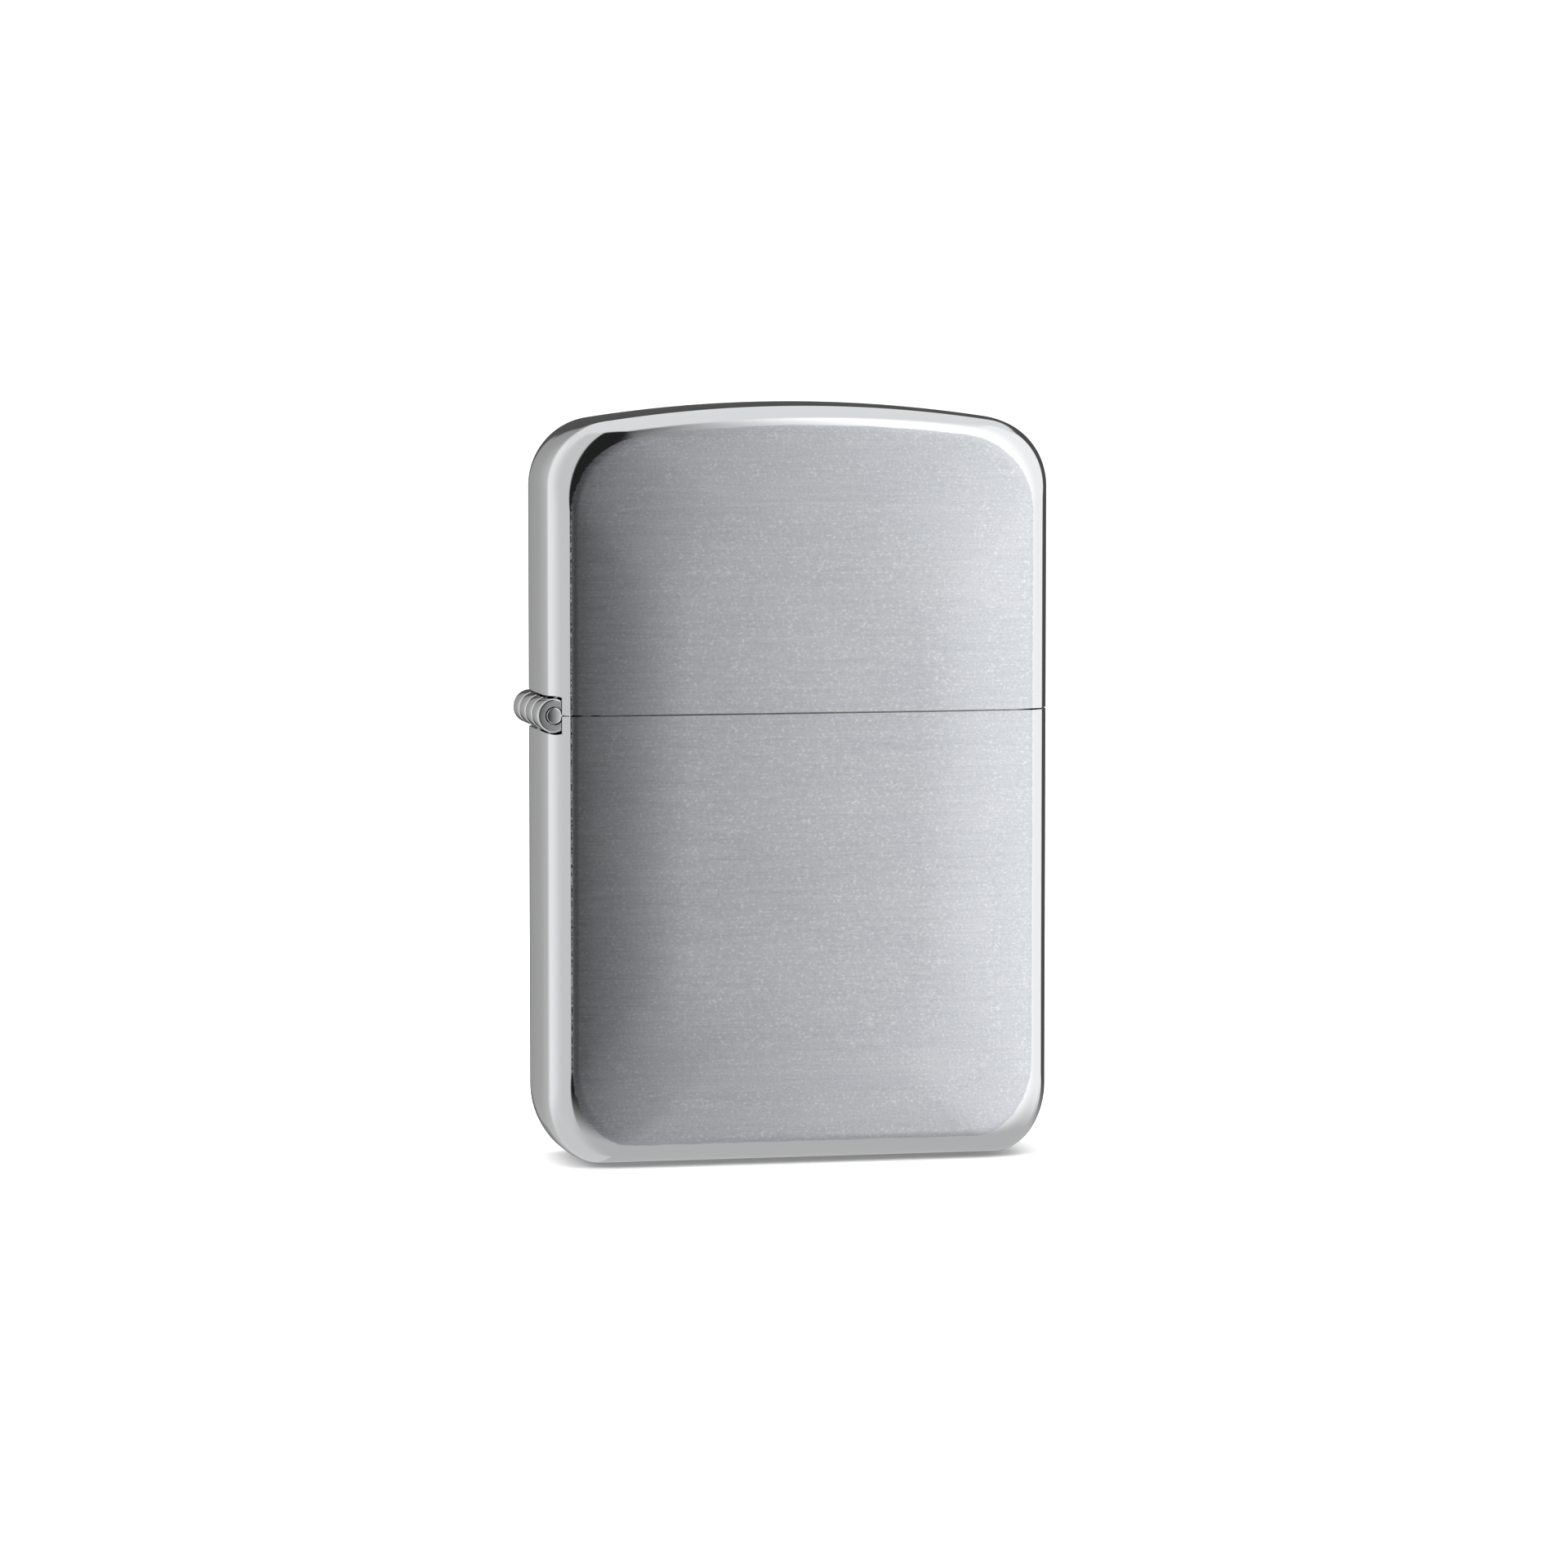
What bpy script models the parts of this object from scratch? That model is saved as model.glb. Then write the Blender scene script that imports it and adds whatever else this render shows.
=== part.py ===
"""Flip-top windproof lighter, closed, as separate working pieces.

Metres, +Z up. The origin is at the middle of the case's flat base, X runs to the right
(the hinge is at -X) and Y from front to back. The lid swings about the hinge line.
"""
import math

import bmesh
import bpy
from mathutils import Matrix, Vector

# ---------------------------------------------------------------- driving sizes
# Case: drawn metal, one outline for both halves
WIDTH = 0.0378
DEPTH = 0.0128
HEIGHT = 0.0560
SPLIT_HEIGHT = 0.0333          # the rim where lid and lower case meet
SEAM_GAP = 0.00012
WALL = 0.0007
EDGE_ROUND = 0.0022            # rounding between the flat faces and the narrow sides
CORNER_TOP = 0.0050
CORNER_BOTTOM_WIDE = 0.0038    # bottom corners are quarter ellipses
CORNER_BOTTOM_TALL = 0.0050
CROWN_RADIUS = 0.0980          # the slightly domed top

# Hinge: four knuckles, two on each leaf
AXIS_INSET = 0.0004            # the hinge line lies this far inside the left side
KNUCKLE_RADIUS = 0.0013
KNUCKLE_COUNT = 4
HINGE_INSET = 0.0010            # from each flat face to the hinge's ends
PIN_RADIUS = 0.0006
LEAF_THICKNESS = 0.00045
LEAF_OVER_FLAT = 0.0002         # how far a leaf reaches past the flat of the side, each way
LEAF_DOWN = 0.0083
LEAF_UP = 0.0070

# Insert: tank, deck and windscreen
TANK_GAP_RIGHT = 0.00035
TANK_GAP_FACE = 0.0002
TANK_GAP_BASE = 0.0003
TANK_WALL = 0.00045
TANK_CORNER = 0.0020           # plan rounding of the tank
TANK_FOOT_ROUND = 0.0030       # rounding of the foot at the narrow sides
TANK_FOOT_DRAW = 0.0014        # how far the foot draws in at the flat faces
TANK_ABOVE_RIM = 0.0027
FOOT_LIP = 0.0035              # metal left round the opening in the tank's foot
DECK_THICKNESS = 0.0005
SCREEN_WALL = 0.0004
SCREEN_UNDER_LID = 0.0027       # room over the windscreen
SCREEN_FROM_CAM = 0.0018        # from the cam's hub to the windscreen's closed end
SCREEN_FROM_WHEEL = 0.0016      # from the wheel's rim to the windscreen's open end
SCREEN_BEND = 0.0030           # length of the rounded end along X
VENT_RADIUS = 0.00085
VENT_ROWS = (3, 2, 3)
VENT_PITCH_X = 0.0035
VENT_PITCH_Z = 0.0042

# Striker wheel on its hollow rivet
WHEEL_FROM_RIGHT = 0.00735      # wheel's axis, from the tank's right side
WHEEL_OVER_TUBE = 0.0006
WHEEL_RADIUS = 0.0034
WHEEL_WIDTH = 0.0044
WHEEL_TEETH = 30
TOOTH_DEPTH = 0.00035
WHEEL_HUB = 0.0019
WHEEL_RIVET_RADIUS = 0.0011
WHEEL_RIVET_BORE = 0.0006
WHEEL_EAR = 0.0024

# Cam lever with its rivet and leaf spring
CAM_FROM_HINGE = 0.0069        # pivot, to the right of the hinge line
CAM_OVER_DECK = 0.0008          # room under the cam's hub for its leaf spring
CAM_HUB = 0.0018
CAM_LENGTH = 0.0074
CAM_NOSE = 0.0005
CAM_WIDTH = 0.0030
CAM_REST_ANGLE = math.radians(136.9)
CAM_RIVET_RADIUS = 0.0009
CAM_EAR_MARGIN = 0.0002
LEAF_SPRING_THICKNESS = 0.0002
LEAF_SPRING_WIDTH = 0.0026
SPRING_RIVET_RADIUS = 0.0006
SPRING_RIVET_HEAD = 0.0010
RIVET_HEAD_OVER = 0.0006       # how far a rivet head stands over its shank
RIVET_HEAD_THICKNESS = 0.0003

# Flint train
TUBE_WALL = 0.0003
TUBE_ABOVE_DECK = 0.0009
FLINT_RADIUS = 0.00115
FLINT_GAP = 0.00015
FLINT_LENGTH = 0.0050
TIP_LENGTH = 0.0014
TIP_STEM_RADIUS = 0.0005
TIP_STEM_LENGTH = 0.0020
SPRING_WIRE = 0.00018
SPRING_TURNS = 18
SCREW_HEAD_OVER = 0.0006        # how far the screw's head stands over the tube
SCREW_HEAD_HEIGHT = 0.0014
SCREW_SHANK_LENGTH = 0.0040
SCREW_SLOT = 0.0005

# Wick and packing
WICK_RADIUS = 0.0012
WICK_ABOVE_DECK = 0.0095
FELT_THICKNESS = 0.0030
PAD_LAYERS = 5

# Clearances
BORE_GAP = 0.00008             # running fit of a bore on its pin
PLAY = 0.0001                  # faces that pass or meet each other
SOFT_GAP = 0.00015             # round wick, cotton and felt

# Facets
ARC_STEPS = 8
EDGE_STEPS = 5
CROWN_STEPS = 6
ROUND = 24

# ---------------------------------------------------------------- sizes that follow
HALF_WIDTH = WIDTH / 2
HALF_DEPTH = DEPTH / 2
HINGE = Vector((-HALF_WIDTH + AXIS_INSET, 0.0, SPLIT_HEIGHT))
HINGE_LENGTH = DEPTH - 2 * HINGE_INSET
LEAF_WIDTH = DEPTH - 2 * EDGE_ROUND + 2 * LEAF_OVER_FLAT
KNUCKLE_CLEARANCE = KNUCKLE_RADIUS + 1.2 * PLAY
KNUCKLE_PITCH = HINGE_LENGTH / KNUCKLE_COUNT
TANK_LEFT = HINGE.x + KNUCKLE_RADIUS + 1.5 * PLAY
TANK_RIGHT = HALF_WIDTH - WALL - TANK_GAP_RIGHT
TANK_HALF_DEPTH = HALF_DEPTH - WALL - TANK_GAP_FACE
TANK_BASE = WALL + TANK_GAP_BASE
DECK = SPLIT_HEIGHT + TANK_ABOVE_RIM
SCREEN_HALF_DEPTH = TANK_HALF_DEPTH - TANK_WALL - 1.5 * PLAY
TUBE_BORE = FLINT_RADIUS + FLINT_GAP
TUBE_RADIUS = TUBE_BORE + TUBE_WALL
SPRING_RADIUS = TUBE_BORE - FLINT_GAP - SPRING_WIRE
SCREW_SHANK_RADIUS = TUBE_BORE - FLINT_GAP
SCREW_HEAD_RADIUS = TUBE_RADIUS + SCREW_HEAD_OVER
WHEEL_X = TANK_RIGHT - WHEEL_FROM_RIGHT
WHEEL_AXIS = Vector((WHEEL_X, 0.0, DECK + TUBE_ABOVE_DECK + WHEEL_OVER_TUBE + WHEEL_RADIUS))
CAM_AXIS = Vector((HINGE.x + CAM_FROM_HINGE, 0.0, DECK + CAM_OVER_DECK + CAM_HUB))
CAM_EAR = CAM_HUB + CAM_EAR_MARGIN
SCREEN_TOP = HEIGHT - WALL - SCREEN_UNDER_LID
SCREEN_LEFT = CAM_AXIS.x + CAM_HUB + SCREEN_FROM_CAM
SCREEN_RIGHT = WHEEL_X - WHEEL_RADIUS - SCREEN_FROM_WHEEL
WICK_X = (SCREEN_LEFT + SCREEN_RIGHT) / 2

# ---------------------------------------------------------------- materials
MATERIALS = {
    "case_chrome": ((0.62, 0.62, 0.63), 0.22, 1.0),
    "hinge_chrome": ((0.55, 0.55, 0.56), 0.12, 1.0),
    "insert_steel": ((0.52, 0.52, 0.51), 0.30, 1.0),
    "wheel_steel": ((0.20, 0.20, 0.21), 0.45, 1.0),
    "spring_steel": ((0.36, 0.36, 0.37), 0.30, 1.0),
    "brass": ((0.60, 0.43, 0.16), 0.30, 1.0),
    "flint": ((0.10, 0.09, 0.09), 0.70, 0.4),
    "wick_cotton": ((0.74, 0.71, 0.62), 0.95, 0.0),
    "cotton_packing": ((0.84, 0.83, 0.79), 0.97, 0.0),
    "felt": ((0.58, 0.57, 0.53), 0.97, 0.0),
}


def material(name):
    """The Principled material of that name, made once."""
    if name in bpy.data.materials:
        return bpy.data.materials[name]
    colour, roughness, metallic = MATERIALS[name]
    made = bpy.data.materials.new(name)
    made.use_nodes = True
    shader = made.node_tree.nodes["Principled BSDF"]
    shader.inputs["Base Color"].default_value = (*colour, 1.0)
    shader.inputs["Roughness"].default_value = roughness
    shader.inputs["Metallic"].default_value = metallic
    return made


# ---------------------------------------------------------------- helpers
def clear_scene():
    for thing in list(bpy.data.objects):
        bpy.data.objects.remove(thing, do_unlink=True)


def add(name, bm, finish, origin=None):
    """Turn a bmesh built in world coordinates into a named, shaded object."""
    mesh = bpy.data.meshes.new(name)
    bm.normal_update()
    bm.to_mesh(mesh)
    bm.free()
    thing = bpy.data.objects.new(name, mesh)
    bpy.context.scene.collection.objects.link(thing)
    mesh.materials.append(material(finish))
    mesh.shade_smooth()
    mesh.set_sharp_from_angle(angle=math.radians(35))
    if origin is not None:
        mesh.transform(Matrix.Translation(-origin))
        thing.location = origin
    return thing


def add_cutter(name, *solids):
    """A hidden object that holds one or more separate solids for a Boolean."""
    mesh = bpy.data.meshes.new(name)
    whole = bmesh.new()
    for solid in solids:
        solid.to_mesh(mesh)
        solid.free()
        whole.from_mesh(mesh)
    whole.to_mesh(mesh)
    whole.free()
    cutter = bpy.data.objects.new(name, mesh)
    bpy.context.scene.collection.objects.link(cutter)
    cutter.hide_render = True
    cutter.display_type = "WIRE"
    return cutter


def boolean(thing, cutter, operation="DIFFERENCE"):
    step = thing.modifiers.new(cutter.name, "BOOLEAN")
    step.object = cutter
    step.operation = operation
    step.solver = "EXACT"


def arc(centre, radii, start, end, steps):
    """Points (x, z) on an elliptical arc, both ends included, angles in degrees."""
    points = []
    for step in range(steps + 1):
        angle = math.radians(start + (end - start) * step / steps)
        points.append((centre[0] + radii[0] * math.cos(angle),
                       centre[1] + radii[1] * math.sin(angle)))
    return points


def rounded_box(left, right, low, high, radius, steps=ARC_STEPS):
    """Outline of a rectangle with four equal round corners."""
    return (arc((right - radius, low + radius), (radius, radius), -90, 0, steps)
            + arc((right - radius, high - radius), (radius, radius), 0, 90, steps)
            + arc((left + radius, high - radius), (radius, radius), 90, 180, steps)
            + arc((left + radius, low + radius), (radius, radius), 180, 270, steps))


def loft(rings, closed=False):
    """A closed body through rings of equal count; the ends are capped or joined."""
    bm = bmesh.new()
    loops = [[bm.verts.new(point) for point in ring] for ring in rings]
    pairs = list(zip(loops, loops[1:]))
    if closed:
        pairs.append((loops[-1], loops[0]))
    for lower, upper in pairs:
        for i, corner in enumerate(lower):
            j = (i + 1) % len(lower)
            bm.faces.new((corner, lower[j], upper[j], upper[i]))
    if not closed:
        bm.faces.new(loops[0])
        bm.faces.new(loops[-1])
    bmesh.ops.recalc_face_normals(bm, faces=bm.faces)
    return bm


def plate(outline, front, back):
    """An outline in the XZ plane, extruded along Y."""
    return loft([[(x, y, z) for x, z in outline] for y in (front, back)])


def slab(outline, low, high):
    """An outline in the XY plane, extruded along Z."""
    return loft([[(x, y, z) for x, y in outline] for z in (low, high)])


def ring_about(axis, centre, radius, height, sides):
    """One ring of points about a Y or Z axis through centre."""
    points = []
    for side in range(sides):
        angle = 2 * math.pi * side / sides
        across = radius * math.cos(angle)
        along = radius * math.sin(angle)
        if axis == "Y":
            points.append((centre[0] + across, height, centre[2] + along))
        else:
            points.append((centre[0] + across, centre[1] + along, height))
    return points


def turned(axis, centre, profile, closed=False, sides=ROUND):
    """Turn a (radius, height) profile about an axis; closed leaves a bore through it."""
    return loft([ring_about(axis, centre, radius, height, sides)
                 for radius, height in profile], closed)


def rod(axis, centre, radius, low, high, sides=ROUND):
    return turned(axis, centre, [(radius, low), (radius, high)], sides=sides)


def hinge_to(thing, empty):
    """Parent a piece to the empty on its joint's axis, without moving it."""
    thing.parent = empty
    thing.matrix_parent_inverse = Matrix.Translation(-empty.location)


# ---------------------------------------------------------------- case shells
def case_outline(inset):
    """Front view of the closed case, moved inwards by inset."""
    foot = (CORNER_BOTTOM_WIDE - inset, CORNER_BOTTOM_TALL - inset)
    foot_x = HALF_WIDTH - CORNER_BOTTOM_WIDE
    top_x = HALF_WIDTH - CORNER_TOP
    crown_z = HEIGHT - CROWN_RADIUS
    lean = math.asin(top_x / (CROWN_RADIUS - CORNER_TOP))
    top_z = crown_z + (CROWN_RADIUS - CORNER_TOP) * math.cos(lean)
    lean = math.degrees(lean)
    corner = (CORNER_TOP - inset, CORNER_TOP - inset)
    crown = (CROWN_RADIUS - inset, CROWN_RADIUS - inset)
    return (arc((foot_x, CORNER_BOTTOM_TALL), foot, -90, 0, ARC_STEPS)
            + arc((top_x, top_z), corner, 0, 90 - lean, ARC_STEPS)
            + arc((0, crown_z), crown, 90 - lean, 90 + lean, CROWN_STEPS)[1:-1]
            + arc((-top_x, top_z), corner, 90 + lean, 180, ARC_STEPS)
            + arc((-foot_x, CORNER_BOTTOM_TALL), foot, 180, 270, ARC_STEPS))


def case_solid(inset):
    """The whole closed case, moved inwards by inset, with its edges rounded."""
    edge = EDGE_ROUND - inset
    half = HALF_DEPTH - inset
    front_rings = []
    for step in range(EDGE_STEPS + 1):
        angle = math.pi / 2 * step / EDGE_STEPS
        y = half - edge * (1 - math.cos(angle))
        front_rings.append((-y, case_outline(inset + edge * (1 - math.sin(angle)))))
    rings = front_rings + [(-y, outline) for y, outline in reversed(front_rings)]
    return loft([[(x, y, z) for x, z in outline] for y, outline in rings])


def half_space(low, high):
    """A block wider than the case between two heights."""
    reach = WIDTH
    return slab([(reach, -reach), (reach, reach), (-reach, reach), (-reach, -reach)], low, high)


def build_case(lid_axis):
    hollow = add_cutter("cut_hollow", case_solid(WALL))
    notch = add_cutter("cut_hinge_notch", rod("Y", HINGE, KNUCKLE_CLEARANCE,
                                              -HINGE_LENGTH / 2 - PLAY, HINGE_LENGTH / 2 + PLAY))
    below = add_cutter("cut_above_rim", half_space(SPLIT_HEIGHT - SEAM_GAP / 2, 2 * HEIGHT))
    above = add_cutter("cut_below_rim", half_space(-HEIGHT, SPLIT_HEIGHT + SEAM_GAP / 2))
    for name, rim in (("case_bottom", below), ("case_lid", above)):
        shell = add(name, case_solid(0.0), "case_chrome")
        for cutter in (hollow, rim, notch):
            boolean(shell, cutter)
        if name == "case_lid":
            hinge_to(shell, lid_axis)


# ---------------------------------------------------------------- hinge
def knuckle_span(index):
    """Front and back of one knuckle, counted from the front."""
    front = -HINGE_LENGTH / 2 + index * KNUCKLE_PITCH
    return front + PLAY / 2, front + KNUCKLE_PITCH - PLAY / 2


def build_hinge(lid_axis):
    inside = -HALF_WIDTH + WALL + PLAY
    bore = add_cutter("cut_hinge_bore", rod("Y", HINGE, PIN_RADIUS + BORE_GAP,
                                            -HINGE_LENGTH, HINGE_LENGTH))
    leaves = (("hinge_leaf_bottom", 1, SPLIT_HEIGHT - LEAF_DOWN, SPLIT_HEIGHT),
              ("hinge_leaf_lid", 0, SPLIT_HEIGHT, SPLIT_HEIGHT + LEAF_UP))
    for name, first, low, high in leaves:
        outline = [(inside, low), (inside + LEAF_THICKNESS, low),
                   (inside + LEAF_THICKNESS, high), (inside, high)]
        leaf = add(name, plate(outline, -LEAF_WIDTH / 2, LEAF_WIDTH / 2), "hinge_chrome")
        own = [knuckle_span(i) for i in range(first, KNUCKLE_COUNT, 2)]
        others = [knuckle_span(i) for i in range(1 - first, KNUCKLE_COUNT, 2)]
        room = add_cutter("cut_room_" + name, *[
            rod("Y", HINGE, KNUCKLE_CLEARANCE, front - PLAY, back + PLAY)
            for front, back in others])
        barrels = add_cutter("join_barrels_" + name, *[
            rod("Y", HINGE, KNUCKLE_RADIUS, front, back) for front, back in own])
        boolean(leaf, room)
        boolean(leaf, barrels, "UNION")
        boolean(leaf, bore)
        if name == "hinge_leaf_lid":
            hinge_to(leaf, lid_axis)
    add("hinge_pin", rod("Y", HINGE, PIN_RADIUS, -HINGE_LENGTH / 2, HINGE_LENGTH / 2),
        "hinge_chrome")


# ---------------------------------------------------------------- insert
def tank_solid(inset, high):
    """The tank's form moved inwards by inset, drawn in towards its foot, up to high."""
    left = TANK_LEFT + inset
    right = TANK_RIGHT - inset
    half = TANK_HALF_DEPTH - inset
    corner = TANK_CORNER - inset
    foot_round = TANK_FOOT_ROUND - inset
    rings = []
    for step in range(EDGE_STEPS + 1):
        angle = math.pi / 2 * step / EDGE_STEPS
        side = foot_round * (1 - math.sin(angle))
        face = (TANK_FOOT_DRAW - inset) * (1 - math.sin(angle))
        z = TANK_BASE + inset + foot_round * (1 - math.cos(angle))
        rings.append([(x, y, z) for x, y in rounded_box(
            left + side, right - side, -half + face, half - face, corner)])
    rings.append([(x, y, high) for x, y in rounded_box(left, right, -half, half, corner)])
    return loft(rings)


def build_tank():
    tank = add("insert_tank", tank_solid(0.0, DECK), "insert_steel")
    boolean(tank, add_cutter("cut_tank_hollow", tank_solid(TANK_WALL, DECK + PLAY)))
    half = TANK_HALF_DEPTH - TANK_FOOT_DRAW - TANK_WALL
    opening = slab(rounded_box(TANK_LEFT + TANK_WALL + FOOT_LIP, TANK_RIGHT - TANK_WALL - FOOT_LIP,
                               -half, half, TANK_CORNER), 0.0, TANK_BASE + 2 * TANK_WALL)
    boolean(tank, add_cutter("cut_tank_foot", opening))


def screen_outline():
    """Side of the windscreen: cam ear, tall screen, wheel ear, down into the deck."""
    foot = DECK - DECK_THICKNESS / 2
    cam_left = CAM_AXIS.x - CAM_EAR
    wheel_right = WHEEL_AXIS.x + WHEEL_EAR
    tall_left = SCREEN_LEFT + SCREEN_BEND
    return ([(wheel_right, foot)]
            + arc((WHEEL_AXIS.x, WHEEL_AXIS.z), (WHEEL_EAR, WHEEL_EAR), 0, 90, ARC_STEPS)
            + [(SCREEN_RIGHT, WHEEL_AXIS.z + WHEEL_EAR)]
            + arc((SCREEN_RIGHT - PLAY, SCREEN_TOP - PLAY), (PLAY, PLAY), 0, 90, 1)
            + [(tall_left, SCREEN_TOP)]
            + [(tall_left, CAM_AXIS.z + CAM_EAR)]
            + arc((CAM_AXIS.x, CAM_AXIS.z), (CAM_EAR, CAM_EAR), 90, 180, ARC_STEPS)
            + [(cam_left, foot)])


def screen_end():
    """The closed, rounded left end of the windscreen, as a bent strip."""
    half = SCREEN_HALF_DEPTH
    centre = (SCREEN_LEFT + SCREEN_BEND, 0.0)
    lap = SCREEN_WALL
    outer = ([(centre[0] + lap, half)]
             + arc(centre, (SCREEN_BEND, half), 90, 270, 2 * ARC_STEPS)
             + [(centre[0] + lap, -half)])
    inner = ([(centre[0] + lap, -half + SCREEN_WALL)]
             + arc(centre, (SCREEN_BEND - SCREEN_WALL, half - SCREEN_WALL), 270, 90,
                   2 * ARC_STEPS)
             + [(centre[0] + lap, half - SCREEN_WALL)])
    return slab(outer + inner, DECK - DECK_THICKNESS / 2, SCREEN_TOP - PLAY)


def vent_rods():
    """Round vents in three rows, through both sides of the windscreen."""
    middle_x = (SCREEN_LEFT + SCREEN_BEND + SCREEN_RIGHT) / 2
    top_row = SCREEN_TOP - VENT_PITCH_Z
    for row, count in enumerate(VENT_ROWS):
        for place in range(count):
            x = middle_x + (place - (count - 1) / 2) * VENT_PITCH_X
            z = top_row - row * VENT_PITCH_Z
            yield rod("Y", (x, 0.0, z), VENT_RADIUS, -DEPTH, DEPTH, sides=12)


def build_chimney():
    inner = TANK_WALL + PLAY / 2
    half = TANK_HALF_DEPTH - inner
    deck = slab(rounded_box(TANK_LEFT + inner, TANK_RIGHT - inner, -half, half,
                            TANK_CORNER - inner), DECK - DECK_THICKNESS, DECK)
    chimney = add("chimney", deck, "insert_steel")
    for side in (-1, 1):
        face = side * SCREEN_HALF_DEPTH
        wall = plate(screen_outline(), face, face - side * SCREEN_WALL)
        boolean(chimney, add_cutter("join_wall_" + ("front", "back")[side > 0], wall), "UNION")
    boolean(chimney, add_cutter("join_screen_end", screen_end()), "UNION")
    below = DECK - 2 * DECK_THICKNESS
    above = DECK + DECK_THICKNESS
    cuts = {
        "vents": list(vent_rods()),
        "axle_holes": [
            rod("Y", WHEEL_AXIS, WHEEL_RIVET_RADIUS + PLAY, -DEPTH, DEPTH),
            rod("Y", CAM_AXIS, CAM_RIVET_RADIUS + PLAY, -DEPTH, DEPTH)],
        "deck_holes": [
            rod("Z", (WICK_X, 0, 0), WICK_RADIUS + PLAY, below, above),
            rod("Z", (WHEEL_X, 0, 0), TUBE_RADIUS + PLAY, below, above),
            rod("Z", spring_rivet_place(), SPRING_RIVET_RADIUS + PLAY, below, above)],
    }
    for name, rods in cuts.items():
        boolean(chimney, add_cutter("cut_" + name, *rods))


# ---------------------------------------------------------------- wheel and rivets
def build_wheel(wheel_axis):
    """A toothed disc on a hub; two points per tooth, tip and root."""
    sides = 2 * WHEEL_TEETH
    hub_half = SCREEN_HALF_DEPTH - SCREEN_WALL - 2 * PLAY
    half = WHEEL_WIDTH / 2

    def toothed(y):
        ring = ring_about("Y", WHEEL_AXIS, WHEEL_RADIUS, y, sides)
        root = ring_about("Y", WHEEL_AXIS, WHEEL_RADIUS - TOOTH_DEPTH, y, sides)
        return [ring[i] if i % 2 else root[i] for i in range(sides)]

    def circle(radius, y):
        return ring_about("Y", WHEEL_AXIS, radius, y, sides)

    bore = WHEEL_RIVET_RADIUS + BORE_GAP
    rings = [circle(bore, -hub_half), circle(WHEEL_HUB, -hub_half), circle(WHEEL_HUB, -half),
             toothed(-half), toothed(half),
             circle(WHEEL_HUB, half), circle(WHEEL_HUB, hub_half), circle(bore, hub_half)]
    wheel = add("striker_wheel", loft(rings, closed=True), "wheel_steel")
    hinge_to(wheel, wheel_axis)


def rivet_profile(shank):
    """Half section of a through rivet with a thin head outside each wall."""
    head = shank + RIVET_HEAD_OVER
    seat = SCREEN_HALF_DEPTH + PLAY / 2
    end = seat + RIVET_HEAD_THICKNESS
    return [(head, -end), (head, -seat), (shank, -seat), (shank, seat), (head, seat), (head, end)]


def build_rivets():
    profile = rivet_profile(WHEEL_RIVET_RADIUS)
    ends = [(WHEEL_RIVET_BORE, profile[-1][1]), (WHEEL_RIVET_BORE, profile[0][1])]
    add("wheel_rivet", turned("Y", WHEEL_AXIS, profile + ends, closed=True), "insert_steel")
    add("cam_rivet", turned("Y", CAM_AXIS, rivet_profile(CAM_RIVET_RADIUS)), "insert_steel")


# ---------------------------------------------------------------- cam
def build_cam(cam_axis):
    """A tapered lever: round hub, small round nose, and their common tangents."""
    tangent = math.degrees(math.acos((CAM_HUB - CAM_NOSE) / CAM_LENGTH))
    rest = math.degrees(CAM_REST_ANGLE)
    nose = (CAM_AXIS.x + CAM_LENGTH * math.cos(CAM_REST_ANGLE),
            CAM_AXIS.z + CAM_LENGTH * math.sin(CAM_REST_ANGLE))
    outline = (arc((CAM_AXIS.x, CAM_AXIS.z), (CAM_HUB, CAM_HUB),
                   rest + tangent, rest + 360 - tangent, 2 * ARC_STEPS)
               + arc(nose, (CAM_NOSE, CAM_NOSE), rest - tangent, rest + tangent, ARC_STEPS))
    cam = add("cam_lever", plate(outline, -CAM_WIDTH / 2, CAM_WIDTH / 2), "insert_steel")
    boolean(cam, add_cutter("cut_cam_bore", rod("Y", CAM_AXIS, CAM_RIVET_RADIUS + BORE_GAP,
                                                -DEPTH, DEPTH)))
    hinge_to(cam, cam_axis)


def spring_rivet_place():
    """The leaf spring's rivet, between the hinge and the cam's hub."""
    return Vector((CAM_AXIS.x - 2 * CAM_HUB, 0.0, DECK))


def build_cam_spring():
    """A flat strip, riveted at its left end, that rises to just under the cam's hub."""
    rivet = spring_rivet_place()
    top = CAM_AXIS.z - CAM_HUB - PLAY
    flat = DECK + PLAY + LEAF_SPRING_THICKNESS
    start = rivet.x - SPRING_RIVET_HEAD
    end = SCREEN_LEFT - 2 * PLAY
    steps = 3 * ARC_STEPS
    upper = []
    for step in range(steps + 1):
        x = start + (end - start) * step / steps
        along = (x - rivet.x - SPRING_RIVET_HEAD) / (CAM_AXIS.x - rivet.x - SPRING_RIVET_HEAD)
        along = min(max(along, 0.0), 1.0)
        upper.append((x, flat + (top - flat) * along * along * (3 - 2 * along)))
    lower = [(x, z - LEAF_SPRING_THICKNESS) for x, z in reversed(upper)]
    spring = add("cam_spring", plate(upper + lower, -LEAF_SPRING_WIDTH / 2,
                                     LEAF_SPRING_WIDTH / 2), "spring_steel")
    boolean(spring, add_cutter("cut_spring_hole", rod("Z", rivet, SPRING_RIVET_RADIUS + PLAY / 2,
                                                      DECK, DECK + CAM_HUB)))
    under = DECK - DECK_THICKNESS - PLAY
    head = flat + PLAY / 2
    profile = [(SPRING_RIVET_HEAD, under - RIVET_HEAD_THICKNESS), (SPRING_RIVET_HEAD, under),
               (SPRING_RIVET_RADIUS, under), (SPRING_RIVET_RADIUS, head),
               (SPRING_RIVET_HEAD, head), (SPRING_RIVET_HEAD, head + LEAF_SPRING_THICKNESS)]
    add("cam_spring_rivet", turned("Z", rivet, profile), "insert_steel")


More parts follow.
